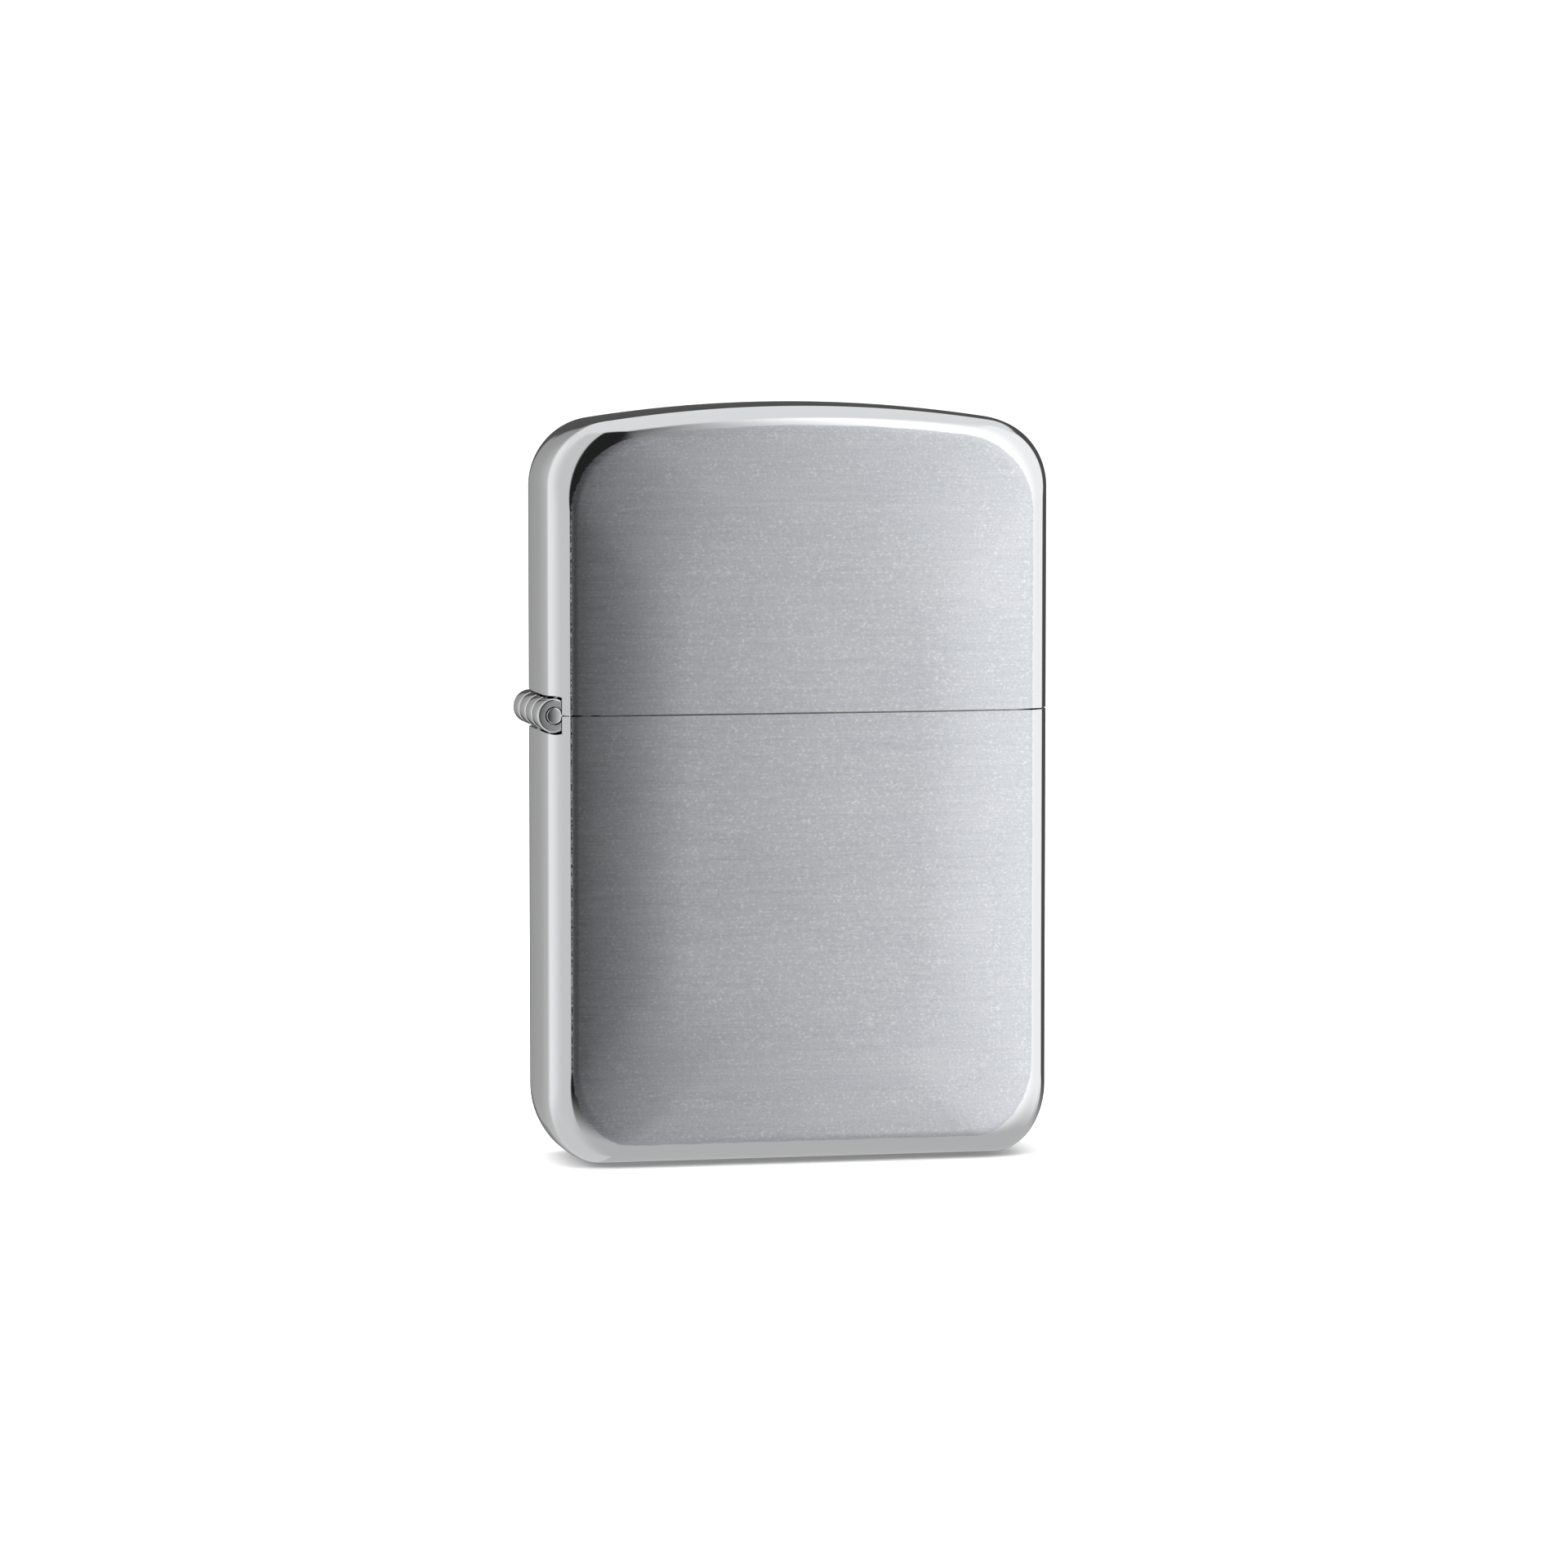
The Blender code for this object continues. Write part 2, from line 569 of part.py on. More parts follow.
# ---------------------------------------------------------------- flint train
def flint_heights():
    """Heights that the flint, its plunger, spring and screw share."""
    flint_top = WHEEL_AXIS.z - WHEEL_RADIUS - PLAY
    flint_low = flint_top - FLINT_LENGTH
    tip_low = flint_low - PLAY - TIP_LENGTH
    screw_low = TANK_BASE + TANK_WALL
    shank_top = screw_low + SCREW_HEAD_HEIGHT + SCREW_SHANK_LENGTH
    return flint_top, flint_low, tip_low, screw_low, shank_top


def build_flint_train(flint_axis):
    flint_top, flint_low, tip_low, screw_low, shank_top = flint_heights()
    centre = Vector((WHEEL_X, 0.0, 0.0))
    head_top = screw_low + SCREW_HEAD_HEIGHT
    tube_low = head_top + PLAY
    tube_high = DECK + TUBE_ABOVE_DECK
    tube = [(TUBE_BORE, tube_low), (TUBE_RADIUS, tube_low), (TUBE_RADIUS, tube_high),
            (TUBE_BORE, tube_high)]
    add("flint_tube", turned("Z", centre, tube, closed=True), "brass")

    flint = add("flint", rod("Z", centre, FLINT_RADIUS, flint_low, flint_top), "flint")
    tip = turned("Z", centre, [(TIP_STEM_RADIUS, tip_low - TIP_STEM_LENGTH),
                               (TIP_STEM_RADIUS, tip_low), (FLINT_RADIUS, tip_low),
                               (FLINT_RADIUS, flint_low - PLAY)])
    plunger = add("flint_spring_tip", tip, "brass")
    hinge_to(flint, flint_axis)
    hinge_to(plunger, flint_axis)

    screw = turned("Z", centre, [(SCREW_HEAD_RADIUS, screw_low), (SCREW_HEAD_RADIUS, head_top),
                                 (SCREW_SHANK_RADIUS, head_top), (SCREW_SHANK_RADIUS, shank_top)])
    screw = add("flint_screw", screw, "brass")
    reach = 2 * SCREW_HEAD_RADIUS
    slot = slab([(WHEEL_X - reach, -SCREW_SLOT / 2), (WHEEL_X + reach, -SCREW_SLOT / 2),
                 (WHEEL_X + reach, SCREW_SLOT / 2), (WHEEL_X - reach, SCREW_SLOT / 2)],
                screw_low - PLAY, screw_low + SCREW_SLOT)
    boolean(screw, add_cutter("cut_screw_slot", slot))
    build_flint_spring(shank_top + PLAY, tip_low - PLAY)


def build_flint_spring(low, high):
    """A coil of round wire between the screw's shank and the plunger."""
    bottom = low + SPRING_WIRE
    top = high - SPRING_WIRE
    steps_per_turn = 10
    steps = SPRING_TURNS * steps_per_turn
    wire_sides = 6
    pitch = (top - bottom) / SPRING_TURNS
    climb = math.atan2(pitch, 2 * math.pi * SPRING_RADIUS)
    rings = []
    for step in range(steps + 1):
        turn = 2 * math.pi * step / steps_per_turn
        outward = Vector((math.cos(turn), math.sin(turn), 0.0))
        forward = Vector((-math.sin(turn), math.cos(turn), 0.0))
        upward = Vector((0, 0, 1)) * math.cos(climb) - forward * math.sin(climb)
        middle = (Vector((WHEEL_X, 0.0, bottom + (top - bottom) * step / steps))
                  + outward * SPRING_RADIUS)
        ring = []
        for side in range(wire_sides):
            angle = 2 * math.pi * side / wire_sides
            ring.append(middle + (outward * math.cos(angle) + upward * math.sin(angle))
                        * SPRING_WIRE)
        rings.append(ring)
    add("flint_spring", loft(rings), "spring_steel")


# ---------------------------------------------------------------- packing and wick
def pad_layout():
    """Heights of the cotton layers and of the wick's runs between them."""
    low = TANK_BASE + TANK_WALL + SOFT_GAP + FELT_THICKNESS + SOFT_GAP
    high = DECK - DECK_THICKNESS - 2 * PLAY - RIVET_HEAD_THICKNESS - SOFT_GAP
    run = 2 * (WICK_RADIUS + SOFT_GAP)
    thick = (high - low - (PAD_LAYERS - 1) * run) / PAD_LAYERS
    pitch = thick + run
    return low, thick, pitch


def wick_comes_from_right():
    """Each layer turns the wick back, so the count of layers sets its last direction."""
    return PAD_LAYERS % 2 == 1


def pad_block(left, right, low, high):
    half = TANK_HALF_DEPTH - TANK_WALL - SOFT_GAP
    corner = TANK_CORNER
    return slab(rounded_box(left, right, -half, half, corner, 4), low, high)


def build_packing():
    low, thick, pitch = pad_layout()
    left = TANK_LEFT + TANK_WALL + SOFT_GAP
    right = WHEEL_X - TUBE_RADIUS - SOFT_GAP
    turn = pitch / 2 + WICK_RADIUS + SOFT_GAP
    beside_wick = WICK_RADIUS + SOFT_GAP
    # The top layer is split where the wick bends up; its wider side leaves room for the bend
    split = ((WICK_X - beside_wick, WICK_X + pitch / 2) if wick_comes_from_right()
             else (WICK_X - pitch / 2, WICK_X + beside_wick))
    # The wick turns round the right end of every second layer and the left end of the others
    for layer in range(PAD_LAYERS):
        base = low + layer * pitch
        pad_left = left
        pad_right = right
        if layer == PAD_LAYERS - 1:
            pad_right = split[0]
        elif layer % 2:
            pad_right = right - turn
        elif layer:
            pad_left = left + turn
        add("cotton_pad_%d" % (layer + 1), pad_block(pad_left, pad_right, base, base + thick),
            "cotton_packing")
    top = low + (PAD_LAYERS - 1) * pitch
    add("cotton_pad_%d" % (PAD_LAYERS + 1),
        pad_block(split[1], right, top, top + thick), "cotton_packing")

    inset = TANK_WALL + SOFT_GAP
    felt_low = TANK_BASE + inset
    felt = add("felt_pad", tank_solid(inset, DECK), "felt")
    boolean(felt, add_cutter("cut_felt_top", half_space(felt_low + FELT_THICKNESS, 2 * HEIGHT)))
    boolean(felt, add_cutter("cut_felt_hole", rod("Z", (WHEEL_X, 0, 0),
                                                  SCREW_HEAD_RADIUS + SOFT_GAP, 0.0, DECK)))


def wick_route():
    """Middle line of the wick: runs between the layers, then up through the deck."""
    low, thick, pitch = pad_layout()
    left = TANK_LEFT + TANK_WALL + SOFT_GAP
    right = WHEEL_X - TUBE_RADIUS - SOFT_GAP
    turn = pitch / 2 + WICK_RADIUS + SOFT_GAP
    near = left + turn
    far = right - turn
    gap_middle = low + thick + WICK_RADIUS + SOFT_GAP
    points = [(near, gap_middle)]
    for layer in range(1, PAD_LAYERS - 1):
        height = gap_middle + (layer - 0.5) * pitch
        if layer % 2:
            points += arc((far, height), (pitch / 2, pitch / 2), -90, 90, ARC_STEPS)
        else:
            points += arc((near, height), (pitch / 2, pitch / 2), 270, 90, ARC_STEPS)
    last = gap_middle + (PAD_LAYERS - 2) * pitch
    bend = pitch / 2
    rising = arc((WICK_X - bend, last + bend), (bend, bend), -90, 0, ARC_STEPS)
    falling = arc((WICK_X + bend, last + bend), (bend, bend), 270, 180, ARC_STEPS)
    points += falling if wick_comes_from_right() else rising
    points.append((WICK_X, DECK + WICK_ABOVE_DECK))
    return points


def build_wick():
    curve = bpy.data.curves.new("wick", "CURVE")
    curve.dimensions = "3D"
    curve.bevel_depth = WICK_RADIUS
    curve.bevel_resolution = 2
    curve.use_fill_caps = True
    curve.render_resolution_u = 0
    route = wick_route()
    spline = curve.splines.new("POLY")
    spline.points.add(len(route) - 1)
    for point, (x, z) in zip(spline.points, route):
        point.co = (x, 0.0, z, 1.0)
    curve.materials.append(material("wick_cotton"))
    wick = bpy.data.objects.new("wick", curve)
    bpy.context.scene.collection.objects.link(wick)


# ---------------------------------------------------------------- the whole lighter
def add_axis(name, place):
    empty = bpy.data.objects.new(name, None)
    empty.location = place
    empty.empty_display_size = KNUCKLE_RADIUS
    bpy.context.scene.collection.objects.link(empty)
    return empty


def main():
    clear_scene()
    lid_axis = add_axis("axis_lid", HINGE)
    build_case(lid_axis)
    build_hinge(lid_axis)
    build_tank()
    build_chimney()
    build_wheel(add_axis("axis_wheel", WHEEL_AXIS))
    build_rivets()
    build_cam(add_axis("axis_cam", CAM_AXIS))
    build_cam_spring()
    build_flint_train(add_axis("axis_flint", Vector((WHEEL_X, 0.0, flint_heights()[0]))))
    build_packing()
    build_wick()


main()
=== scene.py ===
# %% [markdown]
# # A flip-top windproof lighter
#
# The lighter is a drawn metal case in two halves, joined by a four-knuckle hinge, with an
# insert inside it: tank, windscreen, striker wheel, cam, wick and flint feed. The packed
# frame says where every piece goes and how it moves. This lesson gives each piece its fine
# surface and its finish. It starts with the frame, because every place is read from it.

# %% Load the frame
import math

import bmesh
import bpy
import numpy as np
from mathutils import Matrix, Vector


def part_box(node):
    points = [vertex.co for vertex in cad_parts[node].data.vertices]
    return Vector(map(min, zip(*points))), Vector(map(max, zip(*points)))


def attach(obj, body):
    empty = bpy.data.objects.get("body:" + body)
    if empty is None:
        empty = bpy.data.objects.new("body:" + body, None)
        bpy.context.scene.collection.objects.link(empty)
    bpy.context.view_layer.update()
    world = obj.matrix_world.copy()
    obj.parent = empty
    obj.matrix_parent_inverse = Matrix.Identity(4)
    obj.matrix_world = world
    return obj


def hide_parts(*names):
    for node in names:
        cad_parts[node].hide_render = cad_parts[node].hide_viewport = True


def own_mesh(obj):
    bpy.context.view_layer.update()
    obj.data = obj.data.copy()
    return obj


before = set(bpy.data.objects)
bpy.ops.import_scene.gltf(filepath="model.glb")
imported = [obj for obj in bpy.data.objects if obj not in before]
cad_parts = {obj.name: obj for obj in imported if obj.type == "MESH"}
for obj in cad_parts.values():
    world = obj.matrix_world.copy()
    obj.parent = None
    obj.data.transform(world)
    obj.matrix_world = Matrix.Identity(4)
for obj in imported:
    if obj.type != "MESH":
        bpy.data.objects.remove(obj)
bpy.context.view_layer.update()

MM = 0.001

# %% [markdown]
# ## Sizes
#
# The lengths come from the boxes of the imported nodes, so the fine surfaces fit the solids
# that carry the motion. The radii of the rounded edges can't be read from a box. They are
# named here once, as the toolmaker's drawing of the case would give them.

# %% Read the driving sizes
case_low, case_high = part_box("case_bottom")
lid_low, lid_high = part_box("case_lid")
pin_low, pin_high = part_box("hinge_pin")
HALF_WIDTH = case_high.x
HALF_DEPTH = case_high.y
RIM_LOW = case_high.z
RIM_HIGH = lid_low.z
HEIGHT = lid_high.z
WALL = 0.70 * MM
EDGE_ROUND = 2.45 * MM     # a little rounder than the solid's 2.20 mm
CORNER_TOP = 5.00 * MM
CORNER_BOTTOM = (3.80 * MM, 5.00 * MM)
CROWN_RADIUS = 98.0 * MM
HINGE = (pin_low + pin_high) / 2
print("case half width, half depth, height:", HALF_WIDTH, HALF_DEPTH, HEIGHT)

# %% [markdown]
# ## Camera
#
# The camera comes early, because it decides which surfaces need the most care. A long lens
# from nearly half a metre keeps the case's upright edges almost parallel. It stands a
# little to the left of the front and a little above the middle.

# %% Place the camera
CAMERA_AZIMUTH = -12.1
CAMERA_ELEVATION = 4.7
CAMERA_DISTANCE = 480 * MM
CAMERA_LENS = 148.0
CAMERA_SHIFT = (-0.0020, -0.0038)


def direction(azimuth, elevation):
    """Unit vector towards an azimuth and elevation: azimuth 0 is the front, 90 the right."""
    a = math.radians(azimuth)
    e = math.radians(elevation)
    return Vector((math.sin(a) * math.cos(e), -math.cos(a) * math.cos(e), math.sin(e)))


def aim(thing, target, towards, distance):
    """Put a camera or lamp on a line from its target, looking back at it."""
    thing.location = Vector(target) + towards * distance
    thing.rotation_euler = (-towards).to_track_quat("-Z", "Y").to_euler()
    bpy.context.scene.collection.objects.link(thing)


camera = bpy.data.objects.new("camera", bpy.data.cameras.new("camera"))
camera.data.lens = CAMERA_LENS
camera.data.shift_x, camera.data.shift_y = CAMERA_SHIFT
camera.data.clip_start = 0.01
middle = (0.0, 0.0, HEIGHT / 2)
aim(camera, middle, direction(CAMERA_AZIMUTH, CAMERA_ELEVATION), CAMERA_DISTANCE)
bpy.context.scene.camera = camera
print("camera stands at", [round(v, 3) for v in camera.location])

# %% [markdown]
# ## Shader arithmetic
#
# A finish is mostly arithmetic on patterns: a mask times a roughness, one minus a mask. It
# could be wired by hand, but a page of links hides the idea. Here a small class wraps one
# socket and overloads the operators, so a finish reads like a formula, and every other
# node comes from one method.

# %% One class for sockets and one for materials
class Wire:
    """A socket whose arithmetic adds Math nodes."""

    def __init__(self, paint, socket):
        self.paint = paint
        self.socket = socket

    def math(self, operation, *others, first=None):
        values = [self, *others] if first is None else [first, self]
        return self.paint.node("Math", {"operation": operation}, dict(enumerate(values)))

    def __add__(self, other):
        return self.math("ADD", other)

    __radd__ = __add__

    def __mul__(self, other):
        return self.math("MULTIPLY", other)

    __rmul__ = __mul__

    def __sub__(self, other):
        return self.math("SUBTRACT", other)

    def __rsub__(self, other):
        return self.math("SUBTRACT", first=other)

    def __truediv__(self, other):
        return self.math("DIVIDE", other)

    def __abs__(self):
        return self.math("ABSOLUTE")

    def step(self, low, high):
        """0 below low, 1 above high and a smooth slope between them."""
        return self.paint.node("MapRange", {"interpolation_type": "SMOOTHSTEP"},
                               {"Value": self, "From Min": low, "From Max": high})


class Paint:
    """A procedural material and the node tree that it is wired in."""

    def __init__(self, name, metallic=1.0):
        self.material = bpy.data.materials.new(name)
        self.material.use_nodes = True
        self.tree = self.material.node_tree
        self.shader = self.tree.nodes["Principled BSDF"]
        self.shader.inputs["Metallic"].default_value = metallic
        self.place = self.node("TexCoord", {}, {}, "Object")

    def node(self, kind, settings, inputs, output=0):
        """Add a node: its settings first, then the values or links of its sockets."""
        made = self.tree.nodes.new("ShaderNode" + kind)
        for name, value in settings.items():
            setattr(made, name, value)
        for place, value in inputs.items():
            self.feed(made.inputs[place], value)
        return Wire(self, made.outputs[output])

    def feed(self, socket, value):
        if isinstance(value, Wire):
            self.tree.links.new(value.socket, socket)
        else:
            socket.default_value = value

    def axis(self, letter, place=None):
        """One coordinate of a place, in metres."""
        return self.node("SeparateXYZ", {}, {0: place or self.place}, letter)

    def noise(self, cells_per_mm, detail=2.0, rough=0.5, place=None):
        """Noise from 0 to 1, with its own count of cells in a millimetre along X, Y and Z."""
        scale = tuple(cells / MM for cells in cells_per_mm)
        moved = self.node("Mapping", {}, {0: place or self.place, "Scale": scale})
        return self.node("TexNoise", {}, {"Vector": moved, "Scale": 1.0, "Detail": detail,
                                          "Roughness": rough}, "Fac")

    def blend(self, factor, first, second):
        """A colour between two colours."""
        colours = {6: first if isinstance(first, Wire) else (*first, 1.0),
                   7: second if isinstance(second, Wire) else (*second, 1.0)}
        return self.node("Mix", {"data_type": "RGBA"}, {0: factor, **colours}, 2)

    def relief(self, height, depth, under=None):
        """Bump whose height runs from 0 to 1 over a depth in metres."""
        inputs = {"Height": height, "Distance": depth, "Strength": 1.0}
        if under is not None:
            inputs["Normal"] = under
        return self.node("Bump", {}, inputs)

    def finish(self, colour, roughness, normal=None):
        """Feed the shader's sockets and hand back the material."""
        for name, value in (("Base Color", colour), ("Roughness", roughness),
                            ("Normal", normal)):
            if value is not None:
                self.feed(self.shader.inputs[name], value)
        print("finish", self.material.name, "has", len(self.tree.nodes), "nodes")
        return self.material

# %% [markdown]
# ## Finish of the case
#
# The stamped case is chrome plated. Its flat faces are then brushed crosswise with an
# abrasive belt, while the rounded edges, the sides and the domed top stay bright. A picture
# of brushed metal would stretch and repeat. Noise with long cells across the face and short
# ones down it gives the same streaks anywhere. The belt touches only the flat face, so two
# distances decide where the brushing ends: the depth below that face, and the distance
# from the centres of the round upper corners, which the belt misses. A fine speckle of
# grains lies over the streaks; its brightest grains are painted glints in the colour.

# %% Brushed and polished chrome
BELT_REACH = 0.53 * MM     # depth below the flat face that the belt still touches
BELT_FADE = 0.02 * MM
BELT_RADIUS = 5.9 * MM     # how far round the centre of an upper corner it reaches
BELT_CORNER = (12.1 * MM, 48.6 * MM)


def brushed_chrome():
    """Streaks, speckle with painted glints and a rougher surface where the belt reached, bright
    plate elsewhere.
    """
    paint = Paint("case_chrome")
    ragged = paint.noise((0.5, 0.5, 4.0))
    depth = abs(paint.axis("Y")) + (ragged - 0.5) * (0.06 * MM)
    reached = depth.step(HALF_DEPTH - BELT_REACH - BELT_FADE, HALF_DEPTH - BELT_REACH + BELT_FADE)
    across, up = abs(paint.axis("X")), paint.axis("Z")
    beside = (across - BELT_CORNER[0]).math("MAXIMUM", 0.0)
    domed = up + across * across / (2 * CROWN_RADIUS)
    above = (domed - BELT_CORNER[1]).math("MAXIMUM", 0.0)
    away = (beside * beside + above * above).math("SQRT") + (ragged - 0.5) * (0.10 * MM)
    flat = reached * (1 - away.step(BELT_RADIUS - 0.05 * MM, BELT_RADIUS + 0.05 * MM))
    fine = paint.noise((0.35, 1.0, 11.0), detail=3.0, rough=0.65)
    broad = paint.noise((0.06, 1.0, 3.0), detail=3.0, rough=0.6)
    cloud = paint.noise((0.09, 0.09, 0.13), detail=1.0)
    grain = paint.noise((5.5, 4.92, 7.0), detail=0.0)
    # painted glints: the brightest grains are lifted in the colour as sparkle of light
    painted_glints = grain.step(0.68, 0.80)
    tone = 0.5 + (fine - 0.5) * 0.45 + (broad - 0.5) * 0.22 + (cloud - 0.5) * 0.20
    tone = tone + (grain - 0.5) * 0.35 + painted_glints * 0.20
    satin = paint.blend(tone, (0.33, 0.35, 0.385), (0.72, 0.73, 0.75))
    colour = paint.blend(flat, (0.72, 0.725, 0.735), satin)
    smudge = paint.noise((0.12, 0.3, 0.2), detail=4.0)
    polished = 0.045 + smudge * 0.05
    brushed = 0.31 + (fine - 0.5) * 0.12
    roughness = polished * (1 - flat) + brushed * flat
    height = (fine * 0.7 + broad * 0.3) * flat
    return paint.finish(colour, roughness, paint.relief(height, 0.006 * MM))


def drawn_inside():
    """The inside of the shells: bright plate over metal that still shows the drawing marks."""
    paint = Paint("case_inside")
    draw = paint.noise((2.5, 2.5, 0.05), detail=3.0)
    colour = paint.blend(draw, (0.50, 0.50, 0.495), (0.60, 0.595, 0.585))
    return paint.finish(colour, 0.26 + draw * 0.08, paint.relief(draw, 0.001 * MM))


CASE_FINISH = [brushed_chrome(), drawn_inside()]

# %% [markdown]
# ## The other finishes
#
# The hinge is polished like the sides, with the faint rings that turning leaves. The insert
# is stainless sheet, so it shows rolling lines. The wheel is dark hardened steel, the flint
# parts are brass, and the flint is a matt grey stick. Each one is a short formula, so they
# share one helper for metals, which takes the direction and fineness of its marks.

# %% Metals
def marked_metal(name, dark, light, rough, marks, depth, wear=0.0, metallic=1.0):
    """Metal between two tones, with tool marks of so many cells a millimetre on each axis."""
    paint = Paint(name, metallic)
    lines = paint.noise(marks, detail=3.0, rough=0.6)
    smudge = paint.noise((0.25, 0.25, 0.25), detail=4.0, rough=0.6)
    tone = lines * 0.7 + smudge * 0.3
    colour = paint.blend(tone.step(0.25, 0.75), dark, light)
    if wear:
        edge = paint.node("NewGeometry", {}, {}, "Pointiness")
        colour = paint.blend(edge.step(0.52, 0.60) * wear, colour, (0.75, 0.75, 0.76))
    roughness = rough + (lines - 0.5) * 0.12 + (smudge - 0.5) * 0.10
    return paint.finish(colour, roughness, paint.relief(lines, depth))


METALS = {
    "hinge_chrome": marked_metal("hinge_chrome", (0.60, 0.605, 0.615), (0.76, 0.765, 0.775),
                                 0.05, (1.0, 4.0, 1.0), 0.0006 * MM),
    "insert_steel": marked_metal("insert_steel", (0.42, 0.42, 0.415), (0.62, 0.615, 0.605),
                                 0.27, (0.3, 0.6, 8.0), 0.004 * MM),
    "wheel_steel": marked_metal("wheel_steel", (0.10, 0.10, 0.105), (0.26, 0.26, 0.27),
                                0.38, (3.0, 1.0, 3.0), 0.006 * MM, wear=0.6),
    "spring_steel": marked_metal("spring_steel", (0.25, 0.25, 0.26), (0.45, 0.45, 0.46),
                                 0.26, (4.0, 4.0, 4.0), 0.003 * MM),
    "brass": marked_metal("brass", (0.50, 0.34, 0.11), (0.72, 0.53, 0.22),
                          0.26, (1.0, 1.0, 9.0), 0.004 * MM),
    "flint": marked_metal("flint", (0.055, 0.05, 0.05), (0.13, 0.12, 0.115),
                          0.62, (7.0, 7.0, 7.0), 0.02 * MM, metallic=0.4),
}

# %% [markdown]
# ## Cotton, felt and the braided wick
#
# The packing is loose cotton, the pad at the foot is pressed felt and the wick is braided.
# Fibres lie every way in the first two, so layered noise is enough. The braid is made in the
# wick's mesh, and its finish only adds the fine threads and the off-white of unburnt cotton.

# %% Fibres
def fibres(name, dark, light, fineness, depth):
    """Matt cloth whose tone and relief follow fibres of a given fineness."""
    paint = Paint(name, metallic=0.0)
    thread = paint.noise((fineness, fineness, 0.4 * fineness), detail=5.0, rough=0.7)
    tuft = paint.noise((0.4, 0.4, 0.4), detail=3.0)
    colour = paint.blend(thread * 0.6 + tuft * 0.4, dark, light)
    paint.shader.inputs["Sheen Weight"].default_value = 0.3
    return paint.finish(colour, 0.90 + (thread - 0.5) * 0.1, paint.relief(thread, depth))


CLOTH = {
    "wick_cotton": fibres("wick_cotton", (0.56, 0.52, 0.43), (0.86, 0.83, 0.74), 9.0, 0.03 * MM),
    "cotton_packing": fibres("cotton_packing", (0.66, 0.65, 0.61), (0.90, 0.89, 0.86),
                             4.0, 0.10 * MM),
    "felt": fibres("felt", (0.38, 0.37, 0.34), (0.66, 0.65, 0.61), 6.0, 0.06 * MM),
}

# %% [markdown]
# ## Building surfaces
#
# Every new piece is a grid of points worked out as whole arrays. A row of the grid is a
# ring or an outline, and the next row is the same outline moved on. These helpers make arcs,
# turn a grid into a mesh, and carry out a Boolean. The mesh keeps its place in its own
# vertices, so the object stays at the origin and its finish doesn't slide.

# %% Arrays into meshes
def arc(centre, radii, start, end, count):
    """Points centre + (rx cos t, rz sin t) for count angles t from start to end, in degrees."""
    t = np.radians(np.linspace(start, end, count))
    return np.stack([centre[0] + radii[0] * np.cos(t), centre[1] + radii[1] * np.sin(t)], 1)


def grid_faces(rows, columns, wrap_rows=False, wrap_columns=True, first=0):
    """Corner numbers of the quads between neighbours of a rows by columns grid."""
    numbers = first + np.arange(rows * columns).reshape(rows, columns)
    if wrap_rows:
        numbers = np.concatenate([numbers, numbers[:1]])
    if wrap_columns:
        numbers = np.concatenate([numbers, numbers[:, :1]], 1)
    corners = [numbers[:-1, :-1], numbers[:-1, 1:], numbers[1:, 1:], numbers[1:, :-1]]
    return np.stack(corners, -1).reshape(-1, 4).tolist()


SHARP_ANGLE = math.radians(35)


def make_piece(name, points, faces):
    """A mesh object at the origin, normals outwards, smooth except across sharp edges."""
    mesh = bpy.data.meshes.new(name)
    mesh.from_pydata(np.asarray(points).reshape(-1, 3).tolist(), [], faces)
    bm = bmesh.new()
    bm.from_mesh(mesh)
    bmesh.ops.recalc_face_normals(bm, faces=bm.faces)
    bm.to_mesh(mesh)
    bm.free()
    mesh.shade_smooth()
    mesh.set_sharp_from_angle(angle=SHARP_ANGLE)
    piece = bpy.data.objects.new(name, mesh)
    bpy.context.scene.collection.objects.link(piece)
    return piece


def solid(name, grid, closed=False):
    """A body through rings of points: its ends are capped, or joined when it is closed."""
    rows, columns = grid.shape[:2]
    faces = grid_faces(rows, columns, wrap_rows=closed)
    if not closed:
        faces.append(list(range(columns)))
        faces.append(list(range((rows - 1) * columns, rows * columns)))
    return make_piece(name, grid, faces)


def along_y(outline, heights):
    """Copies of an (x, z) outline at several y."""
    heights = np.asarray(heights, float)
    grid = np.empty((len(heights), len(outline), 3))
    grid[:, :, [0, 2]] = outline
    grid[:, :, 1] = heights[:, None]
    return grid


def turned(centre, profile, axis="Y", sides=64):
    """Rings about an axis: point = centre + r (cos t, sin t) across it and h along it."""
    profile = np.asarray(profile, float)
    t = np.linspace(0, 2 * np.pi, sides, endpoint=False)
    across = profile[:, :1] * np.cos(t)
    beside = profile[:, :1] * np.sin(t)
    height = np.repeat(profile[:, 1:], sides, 1)
    order = [across, height, beside] if axis == "Y" else [across, beside, height]
    return np.stack(order, -1) + np.asarray(centre, float)


def soften(corners, radius, steps=4):
    """A (radius, height) profile with its corners rounded: each corner becomes a curve."""
    corners = np.asarray(corners, float)
    points = [corners[:1]]
    for before, corner, after in zip(corners, corners[1:], corners[2:]):
        back, ahead = before - corner, after - corner
        reach = min(radius, np.linalg.norm(back) / 2, np.linalg.norm(ahead) / 2)
        start = corner + back / np.linalg.norm(back) * reach
        end = corner + ahead / np.linalg.norm(ahead) * reach
        t = np.linspace(0, 1, steps + 1)[:, None]
        points.append((1 - t) ** 2 * start + 2 * t * (1 - t) * corner + t ** 2 * end)
    return np.concatenate([*points, corners[-1:]])


